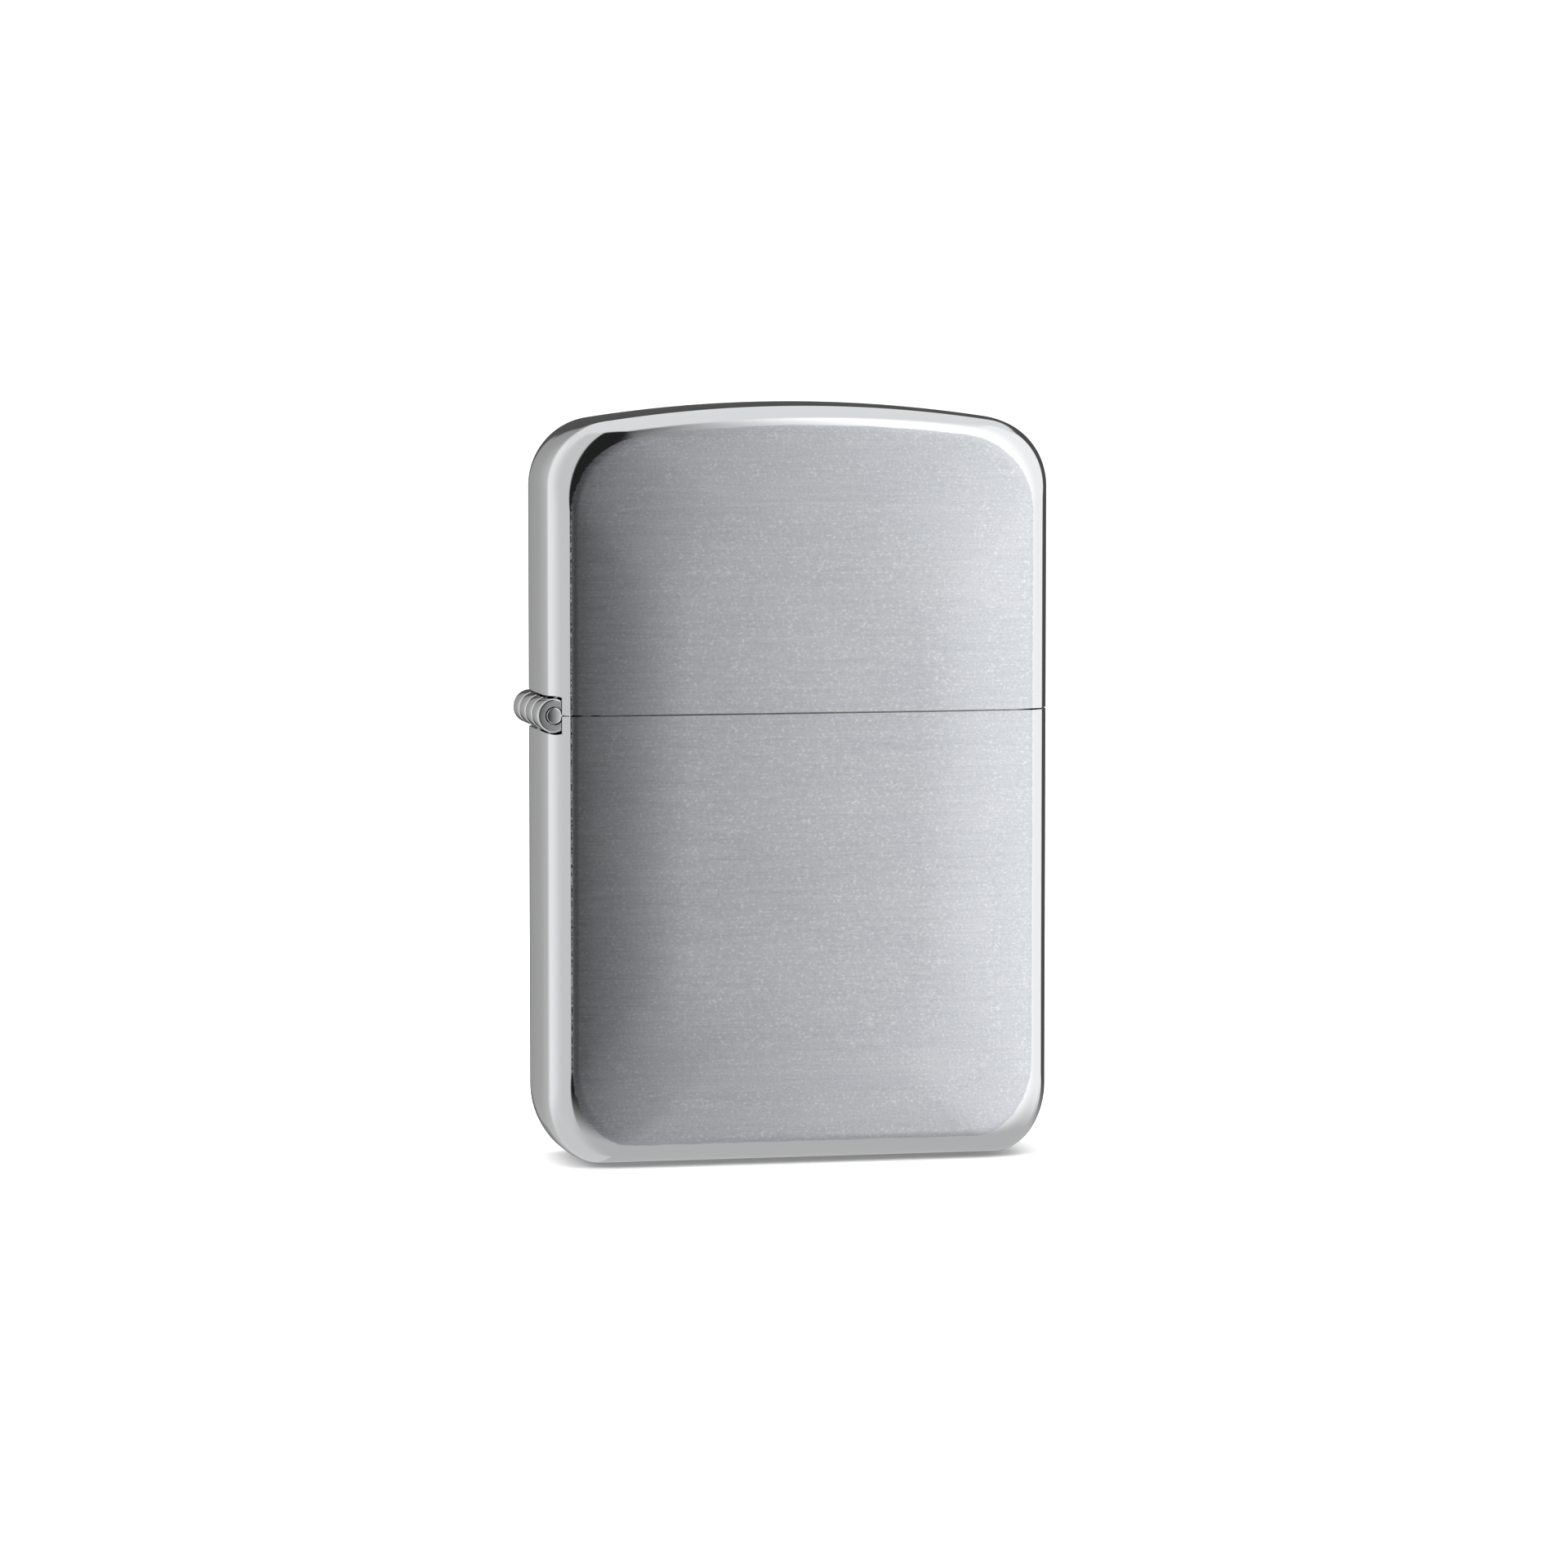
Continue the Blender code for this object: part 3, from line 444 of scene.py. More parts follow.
def combine(piece, tool, operation="DIFFERENCE"):
    """Cut or join a piece with a tool by an exact Boolean, and remove the tool."""
    step = piece.modifiers.new("cut", "BOOLEAN")
    step.object = tool
    step.operation = operation
    step.solver = "EXACT"
    bpy.context.view_layer.update()
    seen = piece.evaluated_get(bpy.context.evaluated_depsgraph_get())
    made = bpy.data.meshes.new_from_object(seen)
    piece.modifiers.clear()
    piece.data = made
    bpy.data.objects.remove(tool)
    return piece


def mount(piece, body, slot, finishes, *nodes, bevel=0.0):
    """Give a piece its edges and finish, its body, and the CAD nodes that it stands for."""
    if bevel:
        edge = piece.modifiers.new("edge", "BEVEL")
        edge.width = bevel
        edge.segments = 2
        edge.limit_method = "ANGLE"
        edge.angle_limit = math.radians(45)
    piece.data.materials.clear()
    for finish in finishes:
        piece.data.materials.append(finish)
    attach(piece, body)
    if nodes:
        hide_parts(*nodes)
    print(piece.name, "rides on", body, "with", len(piece.data.polygons), "faces")
    return piece

# %% [markdown]
# ## The case halves
#
# Each half is drawn from sheet. Its front view is an outline of straight sides, round
# corners and a slightly domed top. Moving that outline inwards while it moves forwards
# traces a quarter circle, and that is the rounded edge. A drawn case isn't flat right up to
# its edge: the face falls away over a long shallow shoulder, the sides over a short one,
# and the corners of the outline open out as it moves in. The inside follows the plain rule,
# one wall further in, so the wall is a little thinner at the shoulders. Modelling a box and
# bevelling it would round every edge alike, and its faces would reflect like flat mirrors.

# %% Outlines of the two halves
ARC_POINTS = 28
EDGE_ROWS = 18
FLAT_MARGIN = 0.06 * MM
SHOULDER_ROWS = 8
SHOULDER_TURN = math.radians(6)
SHOULDER_LENGTH = 8.0 * MM
SIDE_TURN = math.radians(4)
SIDE_LENGTH = 3.2 * MM
CORNER_GROWTH = 1.6 * MM


def corner_at(radius, inset, skin):
    """Corner radius of an outline: R - skin + G (1 - exp(-moved / 2 G)), moved = inset - skin."""
    return radius - skin - CORNER_GROWTH * math.expm1((skin - inset) / (2 * CORNER_GROWTH))


def flank(side, inset, start, end):
    """A straight upright stretch of the outline, without its end."""
    z = np.linspace(start, end, 5)[:-1]
    return np.stack([np.full_like(z, side * (HALF_WIDTH - inset)), z], 1)


def lid_outline(inset, skin):
    """From the right rim up the flank, round a corner, over the crown and down the left."""
    corner = corner_at(CORNER_TOP, inset, skin)
    across = HALF_WIDTH - inset - corner
    crown = (0.0, HEIGHT - CROWN_RADIUS)
    reach = CROWN_RADIUS - inset - corner
    lean = math.asin(across / reach)
    up = crown[1] + reach * math.cos(lean)
    lean = math.degrees(lean)
    right = flank(1, inset, RIM_HIGH, up)
    left = flank(-1, inset, RIM_HIGH, up)[::-1]
    return np.concatenate([
        right, arc((across, up), [corner] * 2, 0, 90 - lean, ARC_POINTS),
        arc(crown, [CROWN_RADIUS - inset] * 2, 90 - lean, 90 + lean, 2 * ARC_POINTS + 1)[1:-1],
        arc((-across, up), [corner] * 2, 90 + lean, 180, ARC_POINTS), left])


def bottom_outline(inset, skin):
    """From the left rim down the flank, round the foot's corners and up the right flank."""
    wide, tall = (corner_at(radius, inset, skin) for radius in CORNER_BOTTOM)
    across = HALF_WIDTH - inset - wide
    up = inset + tall
    left = flank(-1, inset, RIM_LOW, up)
    right = flank(1, inset, RIM_LOW, up)[::-1]
    foot = np.linspace(-across, across, 13)[1:-1]
    return np.concatenate([
        left, arc((-across, up), (wide, tall), 180, 270, ARC_POINTS),
        np.stack([foot, np.full_like(foot, inset)], 1),
        arc((across, up), (wide, tall), 270, 360, ARC_POINTS), right])


def edge_section(depth, shoulder):
    """Insets and depths of the edge, from the flat face to the flat side.

    The surface turns through a small angle over a long shoulder, inset i + L (1 - s) and
    depth L sin(turn) s s / 2. A quarter circle follows, and then the side's own shoulder,
    whose inset fades as (1 - s) (1 - s) while its depth grows as L s.
    """
    turn = SHOULDER_TURN if shoulder else 0.0
    lean = SIDE_TURN if shoulder else 0.0
    s = np.linspace(0, 1, SHOULDER_ROWS)[:-1]
    drop = shoulder * math.sin(turn) / 2
    side_drop = SIDE_LENGTH * math.sin(lean) / 2
    radius = (depth - drop) / (math.cos(turn) - math.sin(lean))
    t = np.linspace(turn, np.pi / 2 - lean, EDGE_ROWS)
    circle_inset = side_drop + radius * (math.cos(lean) - np.sin(t))
    circle_depth = drop + radius * (math.cos(turn) - np.cos(t))
    margin = FLAT_MARGIN if not shoulder else 0.0
    shoulder_inset = circle_inset[0] + (shoulder + margin) * (1 - s)
    away = np.linspace(0, 1, SHOULDER_ROWS)[1:]
    insets = np.concatenate([[shoulder_inset[0] + FLAT_MARGIN], shoulder_inset, circle_inset,
                             side_drop * (1 - away) ** 2])
    depths = np.concatenate([[0.0], drop * s * s, circle_depth, depth + SIDE_LENGTH * away])
    return insets, depths


def shell_rows(outline, inset, shoulder):
    """Rows from the front face to the back, each an outline moved in and moved forwards."""
    half = HALF_DEPTH - inset
    insets, depths = edge_section(EDGE_ROUND - inset, shoulder)
    front = [np.insert(outline(inset + i, inset), 1, d - half, axis=1)
             for i, d in zip(insets, depths)]
    back = [row * (1, -1, 1) for row in reversed(front)]
    return np.array(front + back)


def case_half(name, outline, body, node):
    """Outer and inner skins, joined round the rim, with the hinge's notch cut out."""
    skins = [shell_rows(outline, 0.0, SHOULDER_LENGTH), shell_rows(outline, WALL, 0.0)]
    rows, columns = skins[0].shape[:2]
    count = rows * columns
    faces, loops = [], []
    for first in (0, count):
        faces += grid_faces(rows, columns, wrap_columns=False, first=first)
        numbers = first + np.arange(count).reshape(rows, columns)
        faces += [numbers[0].tolist(), numbers[-1].tolist()]
        loops.append(np.concatenate([numbers[:, 0], numbers[::-1, -1]]))
    skin_faces = len(faces) // 2
    outer, inner = loops
    rim = np.stack([outer, np.roll(outer, -1), np.roll(inner, -1), inner], 1)
    faces += rim.tolist()
    half = make_piece(name, np.concatenate([skin.reshape(-1, 3) for skin in skins]), faces)
    inside = np.zeros(len(faces), np.int32)
    inside[skin_faces:2 * skin_faces] = 1
    half.data.materials.append(CASE_FINISH[0])
    half.data.materials.append(CASE_FINISH[1])
    half.data.polygons.foreach_set("material_index", inside)
    notch_half = (pin_high.y - pin_low.y) / 2 + 0.1 * MM
    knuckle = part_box("hinge_leaf_lid")[0].x
    notch_radius = HINGE.x - knuckle + 0.12 * MM
    notch = solid("notch", turned(HINGE, [(notch_radius, -notch_half),
                                          (notch_radius, notch_half)], sides=96))
    combine(half, notch)
    half.data.shade_smooth()
    half.data.set_sharp_from_angle(angle=SHARP_ANGLE)
    edge = half.modifiers.new("rim", "BEVEL")
    edge.width = 0.10 * MM
    edge.segments = 2
    edge.limit_method = "ANGLE"
    edge.angle_limit = math.radians(60)
    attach(half, body)
    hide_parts(node)
    print(name, "has", len(half.data.polygons), "faces before its rim is rounded")
    return half


case_half("lower_case", bottom_outline, "case", "case_bottom")
case_half("lid", lid_outline, "lid", "case_lid")

# %% [markdown]
# ## The hinge
#
# Each leaf is a small plate spot-welded inside the case, with two barrels rolled from its
# edge round the pin. The front view of a barrel is a circle, so it is turned: rings round
# the hinge line, with the sharp corners of its section rounded. The pin ends about level
# with the outermost barrels, with a gap round it. The plate and its barrels overlap, so they are
# joined, and the room for the other leaf's barrels is cut away first.

# %% Leaves, barrels and pin
PIN_RADIUS = pin_high.x - HINGE.x
BARREL_RADIUS = HINGE.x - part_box("hinge_leaf_bottom")[0].x
BARREL_PITCH = (pin_high.y - pin_low.y) / 4
BARREL_BORE = PIN_RADIUS + 0.08 * MM
PLAY = 0.10 * MM
LEAF_HALF = 4.40 * MM


def block(name, low, high):
    """A plain block from one corner to the opposite one."""
    corners = np.array([(low[0], low[2]), (high[0], low[2]), (high[0], high[2]),
                        (low[0], high[2])])
    return solid(name, along_y(corners, [low[1], high[1]]))


def barrel(index):
    """One barrel, counted from the front: a bore, rounded ends and a straight side.

    The radius is R - c s s, s from the middle to an end, but only the ends' rings follow it.
    """
    front = pin_low.y + index * BARREL_PITCH + PLAY / 2
    back = front + BARREL_PITCH - PLAY
    round_off = 0.16 * MM
    rows = []
    for place, towards in ((back, 1), (front, -1)):
        t = np.linspace(0, np.pi / 2, 12)
        radius = BARREL_RADIUS - round_off + round_off * np.sin(t)
        height = place - towards * round_off * (1 - np.cos(t))
        rows.append(np.stack([radius, height], 1)[::towards])
    side = np.concatenate(rows)
    middle_y = (front + back) / 2
    side[:, 0] -= 0.05 * MM * ((side[:, 1] - middle_y) / (back - middle_y)) ** 2
    ring = np.concatenate([[(BARREL_BORE, back)], side, [(BARREL_BORE, front)]])
    return solid("barrel", turned((HINGE.x, 0, HINGE.z), ring, sides=96), closed=True)


def hinge_leaf(node, body, first):
    """A plate with two barrels, every other one from the first, and room for their fellows."""
    low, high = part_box(node)
    plate_left = -HALF_WIDTH + WALL + PLAY
    edge_low, edge_high = (low.z, HINGE.z) if body == "case" else (HINGE.z, high.z)
    leaf = block(node + "_fine", (plate_left, low.y, edge_low),
                 (plate_left + 0.45 * MM, high.y, edge_high))
    for side in (-1, 1):
        beyond = block("beyond", (-0.03, side * LEAF_HALF, 0), (0, side * 0.02, 0.06))
        combine(leaf, beyond)
    clear = BARREL_RADIUS + 1.2 * PLAY
    for index in range(4):
        middle_y = pin_low.y + (index + 0.5) * BARREL_PITCH
        reach = BARREL_PITCH / 2 + PLAY / 2
        room = [(clear, middle_y - reach), (clear, middle_y + reach)]
        if index % 2 != first:
            combine(leaf, solid("room", turned((HINGE.x, 0, HINGE.z), room)))
    bore = [(BARREL_BORE, -HALF_DEPTH), (BARREL_BORE, HALF_DEPTH)]
    combine(leaf, solid("bore", turned((HINGE.x, 0, HINGE.z), bore, sides=96)))
    for index in range(first, 4, 2):
        combine(leaf, barrel(index), "UNION")
    leaf.data.shade_smooth()
    leaf.data.set_sharp_from_angle(angle=SHARP_ANGLE)
    return mount(leaf, body, "hinge_chrome", [METALS["hinge_chrome"]], node)


hinge_leaf("hinge_leaf_bottom", "case", 1)
hinge_leaf("hinge_leaf_lid", "lid", 0)
pin_profile = soften([(0.02 * MM, pin_low.y), (PIN_RADIUS, pin_low.y),
                      (PIN_RADIUS, pin_high.y), (0.02 * MM, pin_high.y)], 0.12 * MM)
mount(solid("pin", turned((HINGE.x, 0, HINGE.z), pin_profile)), "case", "hinge_chrome",
      [METALS["hinge_chrome"]], "hinge_pin")

# %% [markdown]
# ## The tank and its windscreen
#
# The insert's tank is drawn from thin stainless sheet: a box with rounded corners in plan,
# whose foot draws in so that it slides into the case. Its plan is a ring of points, and one
# formula gives the ring at every height, so the outside, the inside and the opening in the
# foot are one closed run of rings. The windscreen is bent from one strip and punched with
# round vents. Punching suits a Boolean, and a small bevel then breaks each punched edge.

# %% Tank
tank_low, tank_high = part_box("insert_tank")
TANK_WALL = 0.45 * MM
TANK_CORNER = 2.0 * MM
FOOT_ROUND = 3.0 * MM
FOOT_DRAW = 1.4 * MM
DECK = tank_high.z
DECK_THICKNESS = 0.5 * MM


def plan_ring(left, right, half, corner, steps=12):
    """A rectangle in plan with round corners, anticlockwise from its front right corner."""
    turns = [(right - corner, -half + corner, -90), (right - corner, half - corner, 0),
             (left + corner, half - corner, 90), (left + corner, -half + corner, 180)]
    return np.concatenate([arc((x, y), [corner] * 2, start, start + 90, steps)
                           for x, y, start in turns])


def tank_rings(inset, high):
    """Rings up the tank: the foot grows by a quarter circle, and then the side is straight."""
    t = np.linspace(0, np.pi / 2, 12)
    side = (FOOT_ROUND - inset) * (1 - np.sin(t))
    face = (FOOT_DRAW - inset) * (1 - np.sin(t))
    z = tank_low.z + inset + (FOOT_ROUND - inset) * (1 - np.cos(t))
    rings = [np.insert(plan_ring(tank_low.x + inset + s, tank_high.x - inset - s,
                                 tank_high.y - inset - f, TANK_CORNER - inset), 2, level, axis=1)
             for s, f, level in zip(side, face, z)]
    top = rings[-1].copy()
    top[:, 2] = high
    return [*rings, top]


foot_ring = plan_ring(tank_low.x + 3.95 * MM, tank_high.x - 3.95 * MM,
                      tank_high.y - FOOT_DRAW - TANK_WALL, TANK_CORNER)
opening = [np.insert(foot_ring, 2, level, axis=1)
           for level in (tank_low.z + TANK_WALL, tank_low.z)]
tank_grid = np.array([*opening, *tank_rings(0.0, DECK), *tank_rings(TANK_WALL, DECK)[::-1]])
mount(solid("tank", tank_grid, closed=True), "case", "insert_steel",
      [METALS["insert_steel"]], "insert_tank", bevel=0.10 * MM)

# %% Windscreen, ears and deck
screen_low, screen_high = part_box("chimney")
wheel_low, wheel_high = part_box("striker_wheel")
cam_low, cam_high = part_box("cam_lever")
WHEEL = (wheel_low + wheel_high) / 2
CAM_HUB = 1.8 * MM
CAM = Vector((cam_high.x - CAM_HUB, 0.0, cam_low.z + CAM_HUB))
WHEEL_EAR = 2.4 * MM
CAM_EAR = 2.0 * MM
SCREEN_WALL = 0.4 * MM
SCREEN_HALF = tank_high.y - TANK_WALL - 1.5 * PLAY
SCREEN_LEFT = CAM.x + CAM_HUB + 1.8 * MM
SCREEN_RIGHT = wheel_low.x - 1.6 * MM
SCREEN_BEND = 3.0 * MM
VENT_RADIUS = 0.85 * MM
VENT_ROWS = (3, 2, 3)


def ear_side():
    """Side view of a wall: round ear, tall screen with soft corners, round ear, deck."""
    foot = DECK - DECK_THICKNESS / 2
    top = screen_high.z
    tall_left = SCREEN_LEFT + SCREEN_BEND
    step = 0.8 * MM
    wheel_top = WHEEL.z + WHEEL_EAR
    cam_top = CAM.z + CAM_EAR
    return np.concatenate([
        [(WHEEL.x + WHEEL_EAR, foot)],
        arc((WHEEL.x, WHEEL.z), [WHEEL_EAR] * 2, 0, 90, 24),
        arc((SCREEN_RIGHT + step, wheel_top + step), [step] * 2, 270, 180, 8),
        arc((SCREEN_RIGHT - step, top - step), [step] * 2, 0, 90, 8),
        [(tall_left, top)],
        [(tall_left, cam_top)],
        arc((CAM.x, CAM.z), [CAM_EAR] * 2, 90, 180, 24),
        [(CAM.x - CAM_EAR, foot)]])


def screen_bend():
    """The closed left end: a half ellipse in plan, one wall thick, standing on the deck."""
    centre = (SCREEN_LEFT + SCREEN_BEND, 0.0)
    lap = np.array([(centre[0] + SCREEN_WALL, SCREEN_HALF)])
    flip = np.array([(1, -1)])
    thin = (0, SCREEN_WALL)
    outer = arc(centre, (SCREEN_BEND, SCREEN_HALF), 90, 270, 48)
    inner = arc(centre, (SCREEN_BEND - SCREEN_WALL, SCREEN_HALF - SCREEN_WALL), 270, 90, 48)
    plan = np.concatenate([lap, outer, lap * flip, lap * flip + thin, inner, lap - thin])
    low, high = DECK - DECK_THICKNESS / 2, screen_high.z - PLAY
    return solid("bend", np.array([np.insert(plan, 2, level, axis=1) for level in (low, high)]))


def rods(name, places, radius, sides=40):
    """Rods through both walls, as one cutter."""
    reach = HALF_DEPTH
    grids = [turned((x, 0, z), [(radius, -reach), (radius, reach)], sides=sides)
             for x, z in places]
    faces = []
    for number in range(len(grids)):
        first = number * 2 * sides
        faces += grid_faces(2, sides, first=first)
        faces += [list(range(first, first + sides)), list(range(first + sides, first + 2 * sides))]
    return make_piece(name, np.concatenate(grids), faces)


inner = TANK_WALL + PLAY / 2
deck_ring = plan_ring(tank_low.x + inner, tank_high.x - inner, tank_high.y - inner,
                      TANK_CORNER - inner)
deck = solid("windscreen", np.array([np.insert(deck_ring, 2, level, axis=1)
                                     for level in (DECK - DECK_THICKNESS, DECK)]))
for side in (-1, 1):
    wall = along_y(ear_side(), [side * SCREEN_HALF, side * (SCREEN_HALF - SCREEN_WALL)])
    combine(deck, solid("wall", wall), "UNION")
combine(deck, screen_bend(), "UNION")
vent_middle = (SCREEN_LEFT + SCREEN_BEND + SCREEN_RIGHT) / 2
vents = [(vent_middle + (place - (count - 1) / 2) * 3.5 * MM,
          screen_high.z - (row + 1) * 4.2 * MM)
         for row, count in enumerate(VENT_ROWS) for place in range(count)]
combine(deck, rods("vents", vents, VENT_RADIUS))
combine(deck, rods("wheel_hole", [(WHEEL.x, WHEEL.z)], 1.2 * MM))
combine(deck, rods("cam_hole", [(CAM.x, CAM.z)], 1.0 * MM))
wick_low, wick_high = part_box("wick")
tube_low, tube_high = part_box("flint_tube")
spring_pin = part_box("cam_spring_rivet")
pin_x = (spring_pin[0].x + spring_pin[1].x) / 2
WICK_RADIUS = wick_high.y
WICK_X = (SCREEN_LEFT + SCREEN_RIGHT) / 2
for x, radius in ((WICK_X, WICK_RADIUS + PLAY), (WHEEL.x, tube_high.y + PLAY),
                  (pin_x, 0.7 * MM)):
    hole = [(radius, DECK - MM), (radius, DECK + MM)]
    combine(deck, solid("hole", turned((x, 0, 0), hole, "Z")))
deck.data.shade_smooth()
deck.data.set_sharp_from_angle(angle=SHARP_ANGLE)
mount(deck, "case", "insert_steel", [METALS["insert_steel"]], "chimney", bevel=0.06 * MM)

# %% [markdown]
# ## The striker wheel and the rivets
#
# The wheel is turned from steel rod, and a knurling tool then rolls teeth into it. Teeth are
# a change of radius, so one grid over angle and width makes them: a saw-tooth round the rim,
# cut by shallow grooves across it. The wheel runs on a hollow rivet with rolled ends, and
# the cam on a solid one with low domed heads. Both are turned profiles.

# %% Wheel
WHEEL_RADIUS = WHEEL.x - wheel_low.x
WHEEL_HUB = 1.9 * MM
WHEEL_HALF = 2.2 * MM
TEETH = 30
TOOTH_DEPTH = 0.35 * MM
GROOVE_PITCH = 0.62 * MM
WHEEL_BORE = 1.18 * MM


def knurled_wheel():
    """Rim radius R - d (1 - c) - 0.4 d e, with plain rings for the hub and the sides.

    The cut c = saw (1 - 0.45 g - e) + 0.9 e is held between 0 and 1. The saw climbs over
    three quarters of a tooth, g is a groove round the rim, and e rises at the rim's sides.
    """
    per_tooth = 12
    t = np.arange(TEETH * per_tooth) / per_tooth
    steep = t % 1.0
    saw = np.where(steep < 0.75, steep / 0.75, (1.0 - steep) / 0.25)
    y = np.linspace(-WHEEL_HALF, WHEEL_HALF, 61)
    groove = np.clip(1.4 * np.cos(2 * np.pi * y / GROOVE_PITCH) - 0.6, 0, 1)
    edge = np.clip((np.abs(y) / WHEEL_HALF - 0.94) / 0.06, 0, 1) ** 2
    cut = np.outer(1 - 0.45 * groove - edge, saw) + 0.9 * edge[:, None]
    rim = WHEEL_RADIUS - TOOTH_DEPTH * (1 - np.clip(cut, 0, 1) + 0.4 * edge[:, None])
    side = WHEEL_RADIUS - 1.25 * TOOTH_DEPTH
    hub_half = wheel_high.y
    front = soften([(WHEEL_BORE, -hub_half), (WHEEL_HUB, -hub_half), (WHEEL_HUB, -WHEEL_HALF),
                    (side - 0.6 * MM, -WHEEL_HALF), (side - 0.3 * MM, -WHEEL_HALF)], 0.18 * MM)
    back = front[::-1] * (1, -1)
    radii = np.concatenate([np.repeat(front[:, :1], len(t), 1), rim,
                            np.repeat(back[:, :1], len(t), 1)])
    heights = np.concatenate([front[:, 1], y, back[:, 1]])
    turn = 2 * np.pi * t / TEETH
    grid = np.stack([WHEEL.x + radii * np.cos(turn), np.repeat(heights[:, None], len(t), 1),
                     WHEEL.z + radii * np.sin(turn)], -1)
    return solid("knurled_wheel", grid, closed=True)


mount(knurled_wheel(), "wheel", "wheel_steel", [METALS["wheel_steel"]], "striker_wheel")

# %% Rivets
def riveted(name, centre, shank, bore, node):
    """A shank through both walls, with a head that is rounded on its outer edge."""
    head = shank + 0.6 * MM
    seat = SCREEN_HALF + PLAY / 2
    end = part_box(node)[1].y
    half = [(shank, 0), (shank, seat), (head, seat), (head, end - 0.02 * MM),
            (bore + 0.25 * MM, end), (bore, end - 0.10 * MM)]
    half = soften(half, 0.20 * MM)
    profile = np.concatenate([half[::-1] * (1, -1), half[1:]])
    return mount(solid(name, turned((centre.x, 0, centre.z), profile), closed=bore > 0.1 * MM),
                 "case", "insert_steel", [METALS["insert_steel"]], node)


riveted("hollow_axle", WHEEL, 1.1 * MM, 0.6 * MM, "wheel_rivet")
riveted("cam_axle", CAM, 0.9 * MM, 0.02 * MM, "cam_rivet")

# %% [markdown]
# ## The cam and its spring
#
# The cam is a stamped lever: a round hub, a small round nose and the straight lines that
# touch both. Its spring is a strip of hardened steel, riveted to the deck and bowed up under
# the hub. Both are the same all across their width, so a side view swept along Y gives them.

# %% Cam lever and leaf spring
CAM_LENGTH = 7.4 * MM
CAM_NOSE = 0.5 * MM
CAM_ANGLE = 136.9


def cam_side():
    """Hub arc and nose arc; the tangent angle is acos((R - r) / L)."""
    lean = math.radians(CAM_ANGLE)
    tangent = math.degrees(math.acos((CAM_HUB - CAM_NOSE) / CAM_LENGTH))
    nose = (CAM.x + CAM_LENGTH * math.cos(lean), CAM.z + CAM_LENGTH * math.sin(lean))
    return np.concatenate([
        arc((CAM.x, CAM.z), [CAM_HUB] * 2, CAM_ANGLE + tangent, CAM_ANGLE + 360 - tangent, 64),
        arc(nose, [CAM_NOSE] * 2, CAM_ANGLE - tangent, CAM_ANGLE + tangent, 24)])


cam = solid("cam", along_y(cam_side(), [cam_low.y, cam_high.y]))
combine(cam, rods("cam_bore", [(CAM.x, CAM.z)], 0.98 * MM, 64))
mount(cam, "cam", "insert_steel", [METALS["insert_steel"]], "cam_lever", bevel=0.14 * MM)

strip_low, strip_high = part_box("cam_spring")
STRIP_THICK = 0.2 * MM


def strip_side():
    """Upper line z = flat + rise s s (3 - 2 s), and the same line one thickness lower."""
    x = np.linspace(strip_low.x, strip_high.x, 60)
    start = pin_x + MM
    s = np.clip((x - start) / (CAM.x - start), 0, 1)
    flat = strip_low.z + STRIP_THICK
    z = flat + (strip_high.z - flat) * s * s * (3 - 2 * s)
    upper = np.stack([x, z], 1)
    return np.concatenate([upper, upper[::-1] - (0, STRIP_THICK)])


strip = solid("spring_strip", along_y(strip_side(), [strip_low.y, strip_high.y]))
strip_hole = [(0.65 * MM, DECK), (0.65 * MM, DECK + MM)]
combine(strip, solid("strip_hole", turned((pin_x, 0, 0), strip_hole, "Z")))
mount(strip, "case", "spring_steel", [METALS["spring_steel"]], "cam_spring", bevel=0.04 * MM)

pin_foot, pin_top = spring_pin[0].z, spring_pin[1].z
head_seat = strip_low.z + STRIP_THICK + PLAY / 2
under_deck = DECK - DECK_THICKNESS - PLAY
strip_pin = soften([(0.02 * MM, pin_foot), (MM, pin_foot), (MM, under_deck),
                    (0.6 * MM, under_deck), (0.6 * MM, head_seat), (MM, head_seat),
                    (MM, pin_top - 0.05 * MM), (0.02 * MM, pin_top)], 0.10 * MM)
mount(solid("strip_rivet", turned((pin_x, 0, 0), strip_pin, "Z")), "case", "insert_steel",
      [METALS["insert_steel"]], "cam_spring_rivet")

# %% [markdown]
# ## The flint train
#
# A brass tube guides the flint up to the wheel. A coil spring pushes it through a brass
# plunger, and a slotted screw closes the tube from below. All are round bars, so each is a
# profile turned about the tube's axis. The spring is wound: a small ring of points is
# carried along a helix.

# %% Tube, flint, plunger and screw
def round_bar(name, node, body, slot, corners, rounding, bore=False):
    """A bar or a tube turned about the flint's axis, with its corners rounded."""
    profile = soften(corners, rounding)
    if bore:
        profile = profile[1:]
    piece = solid(name, turned((WHEEL.x, 0, 0), profile, "Z", 48), closed=bore)
    return mount(piece, body, slot, [METALS[slot]], node)


CORE = 0.02 * MM
tube_bore = tube_high.y - 0.3 * MM
round_bar("guide_tube", "flint_tube", "case", "brass",
          [(tube_bore, tube_high.z), (tube_bore, tube_low.z), (tube_high.y, tube_low.z),
           (tube_high.y, tube_high.z), (tube_bore, tube_high.z)], 0.10 * MM, bore=True)
flint_low, flint_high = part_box("flint")
round_bar("flint_stick", "flint", "flint_follower", "flint",
          [(CORE, flint_low.z), (flint_high.y, flint_low.z), (flint_high.y, flint_high.z),
           (CORE, flint_high.z)], 0.12 * MM)
tip_low, tip_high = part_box("flint_spring_tip")
shoulder = tip_high.z - 1.4 * MM
round_bar("plunger", "flint_spring_tip", "flint_follower", "brass",
          [(CORE, tip_low.z), (0.5 * MM, tip_low.z), (0.5 * MM, shoulder),
           (tip_high.y, shoulder), (tip_high.y, tip_high.z), (CORE, tip_high.z)], 0.12 * MM)
screw_low, screw_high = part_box("flint_screw")
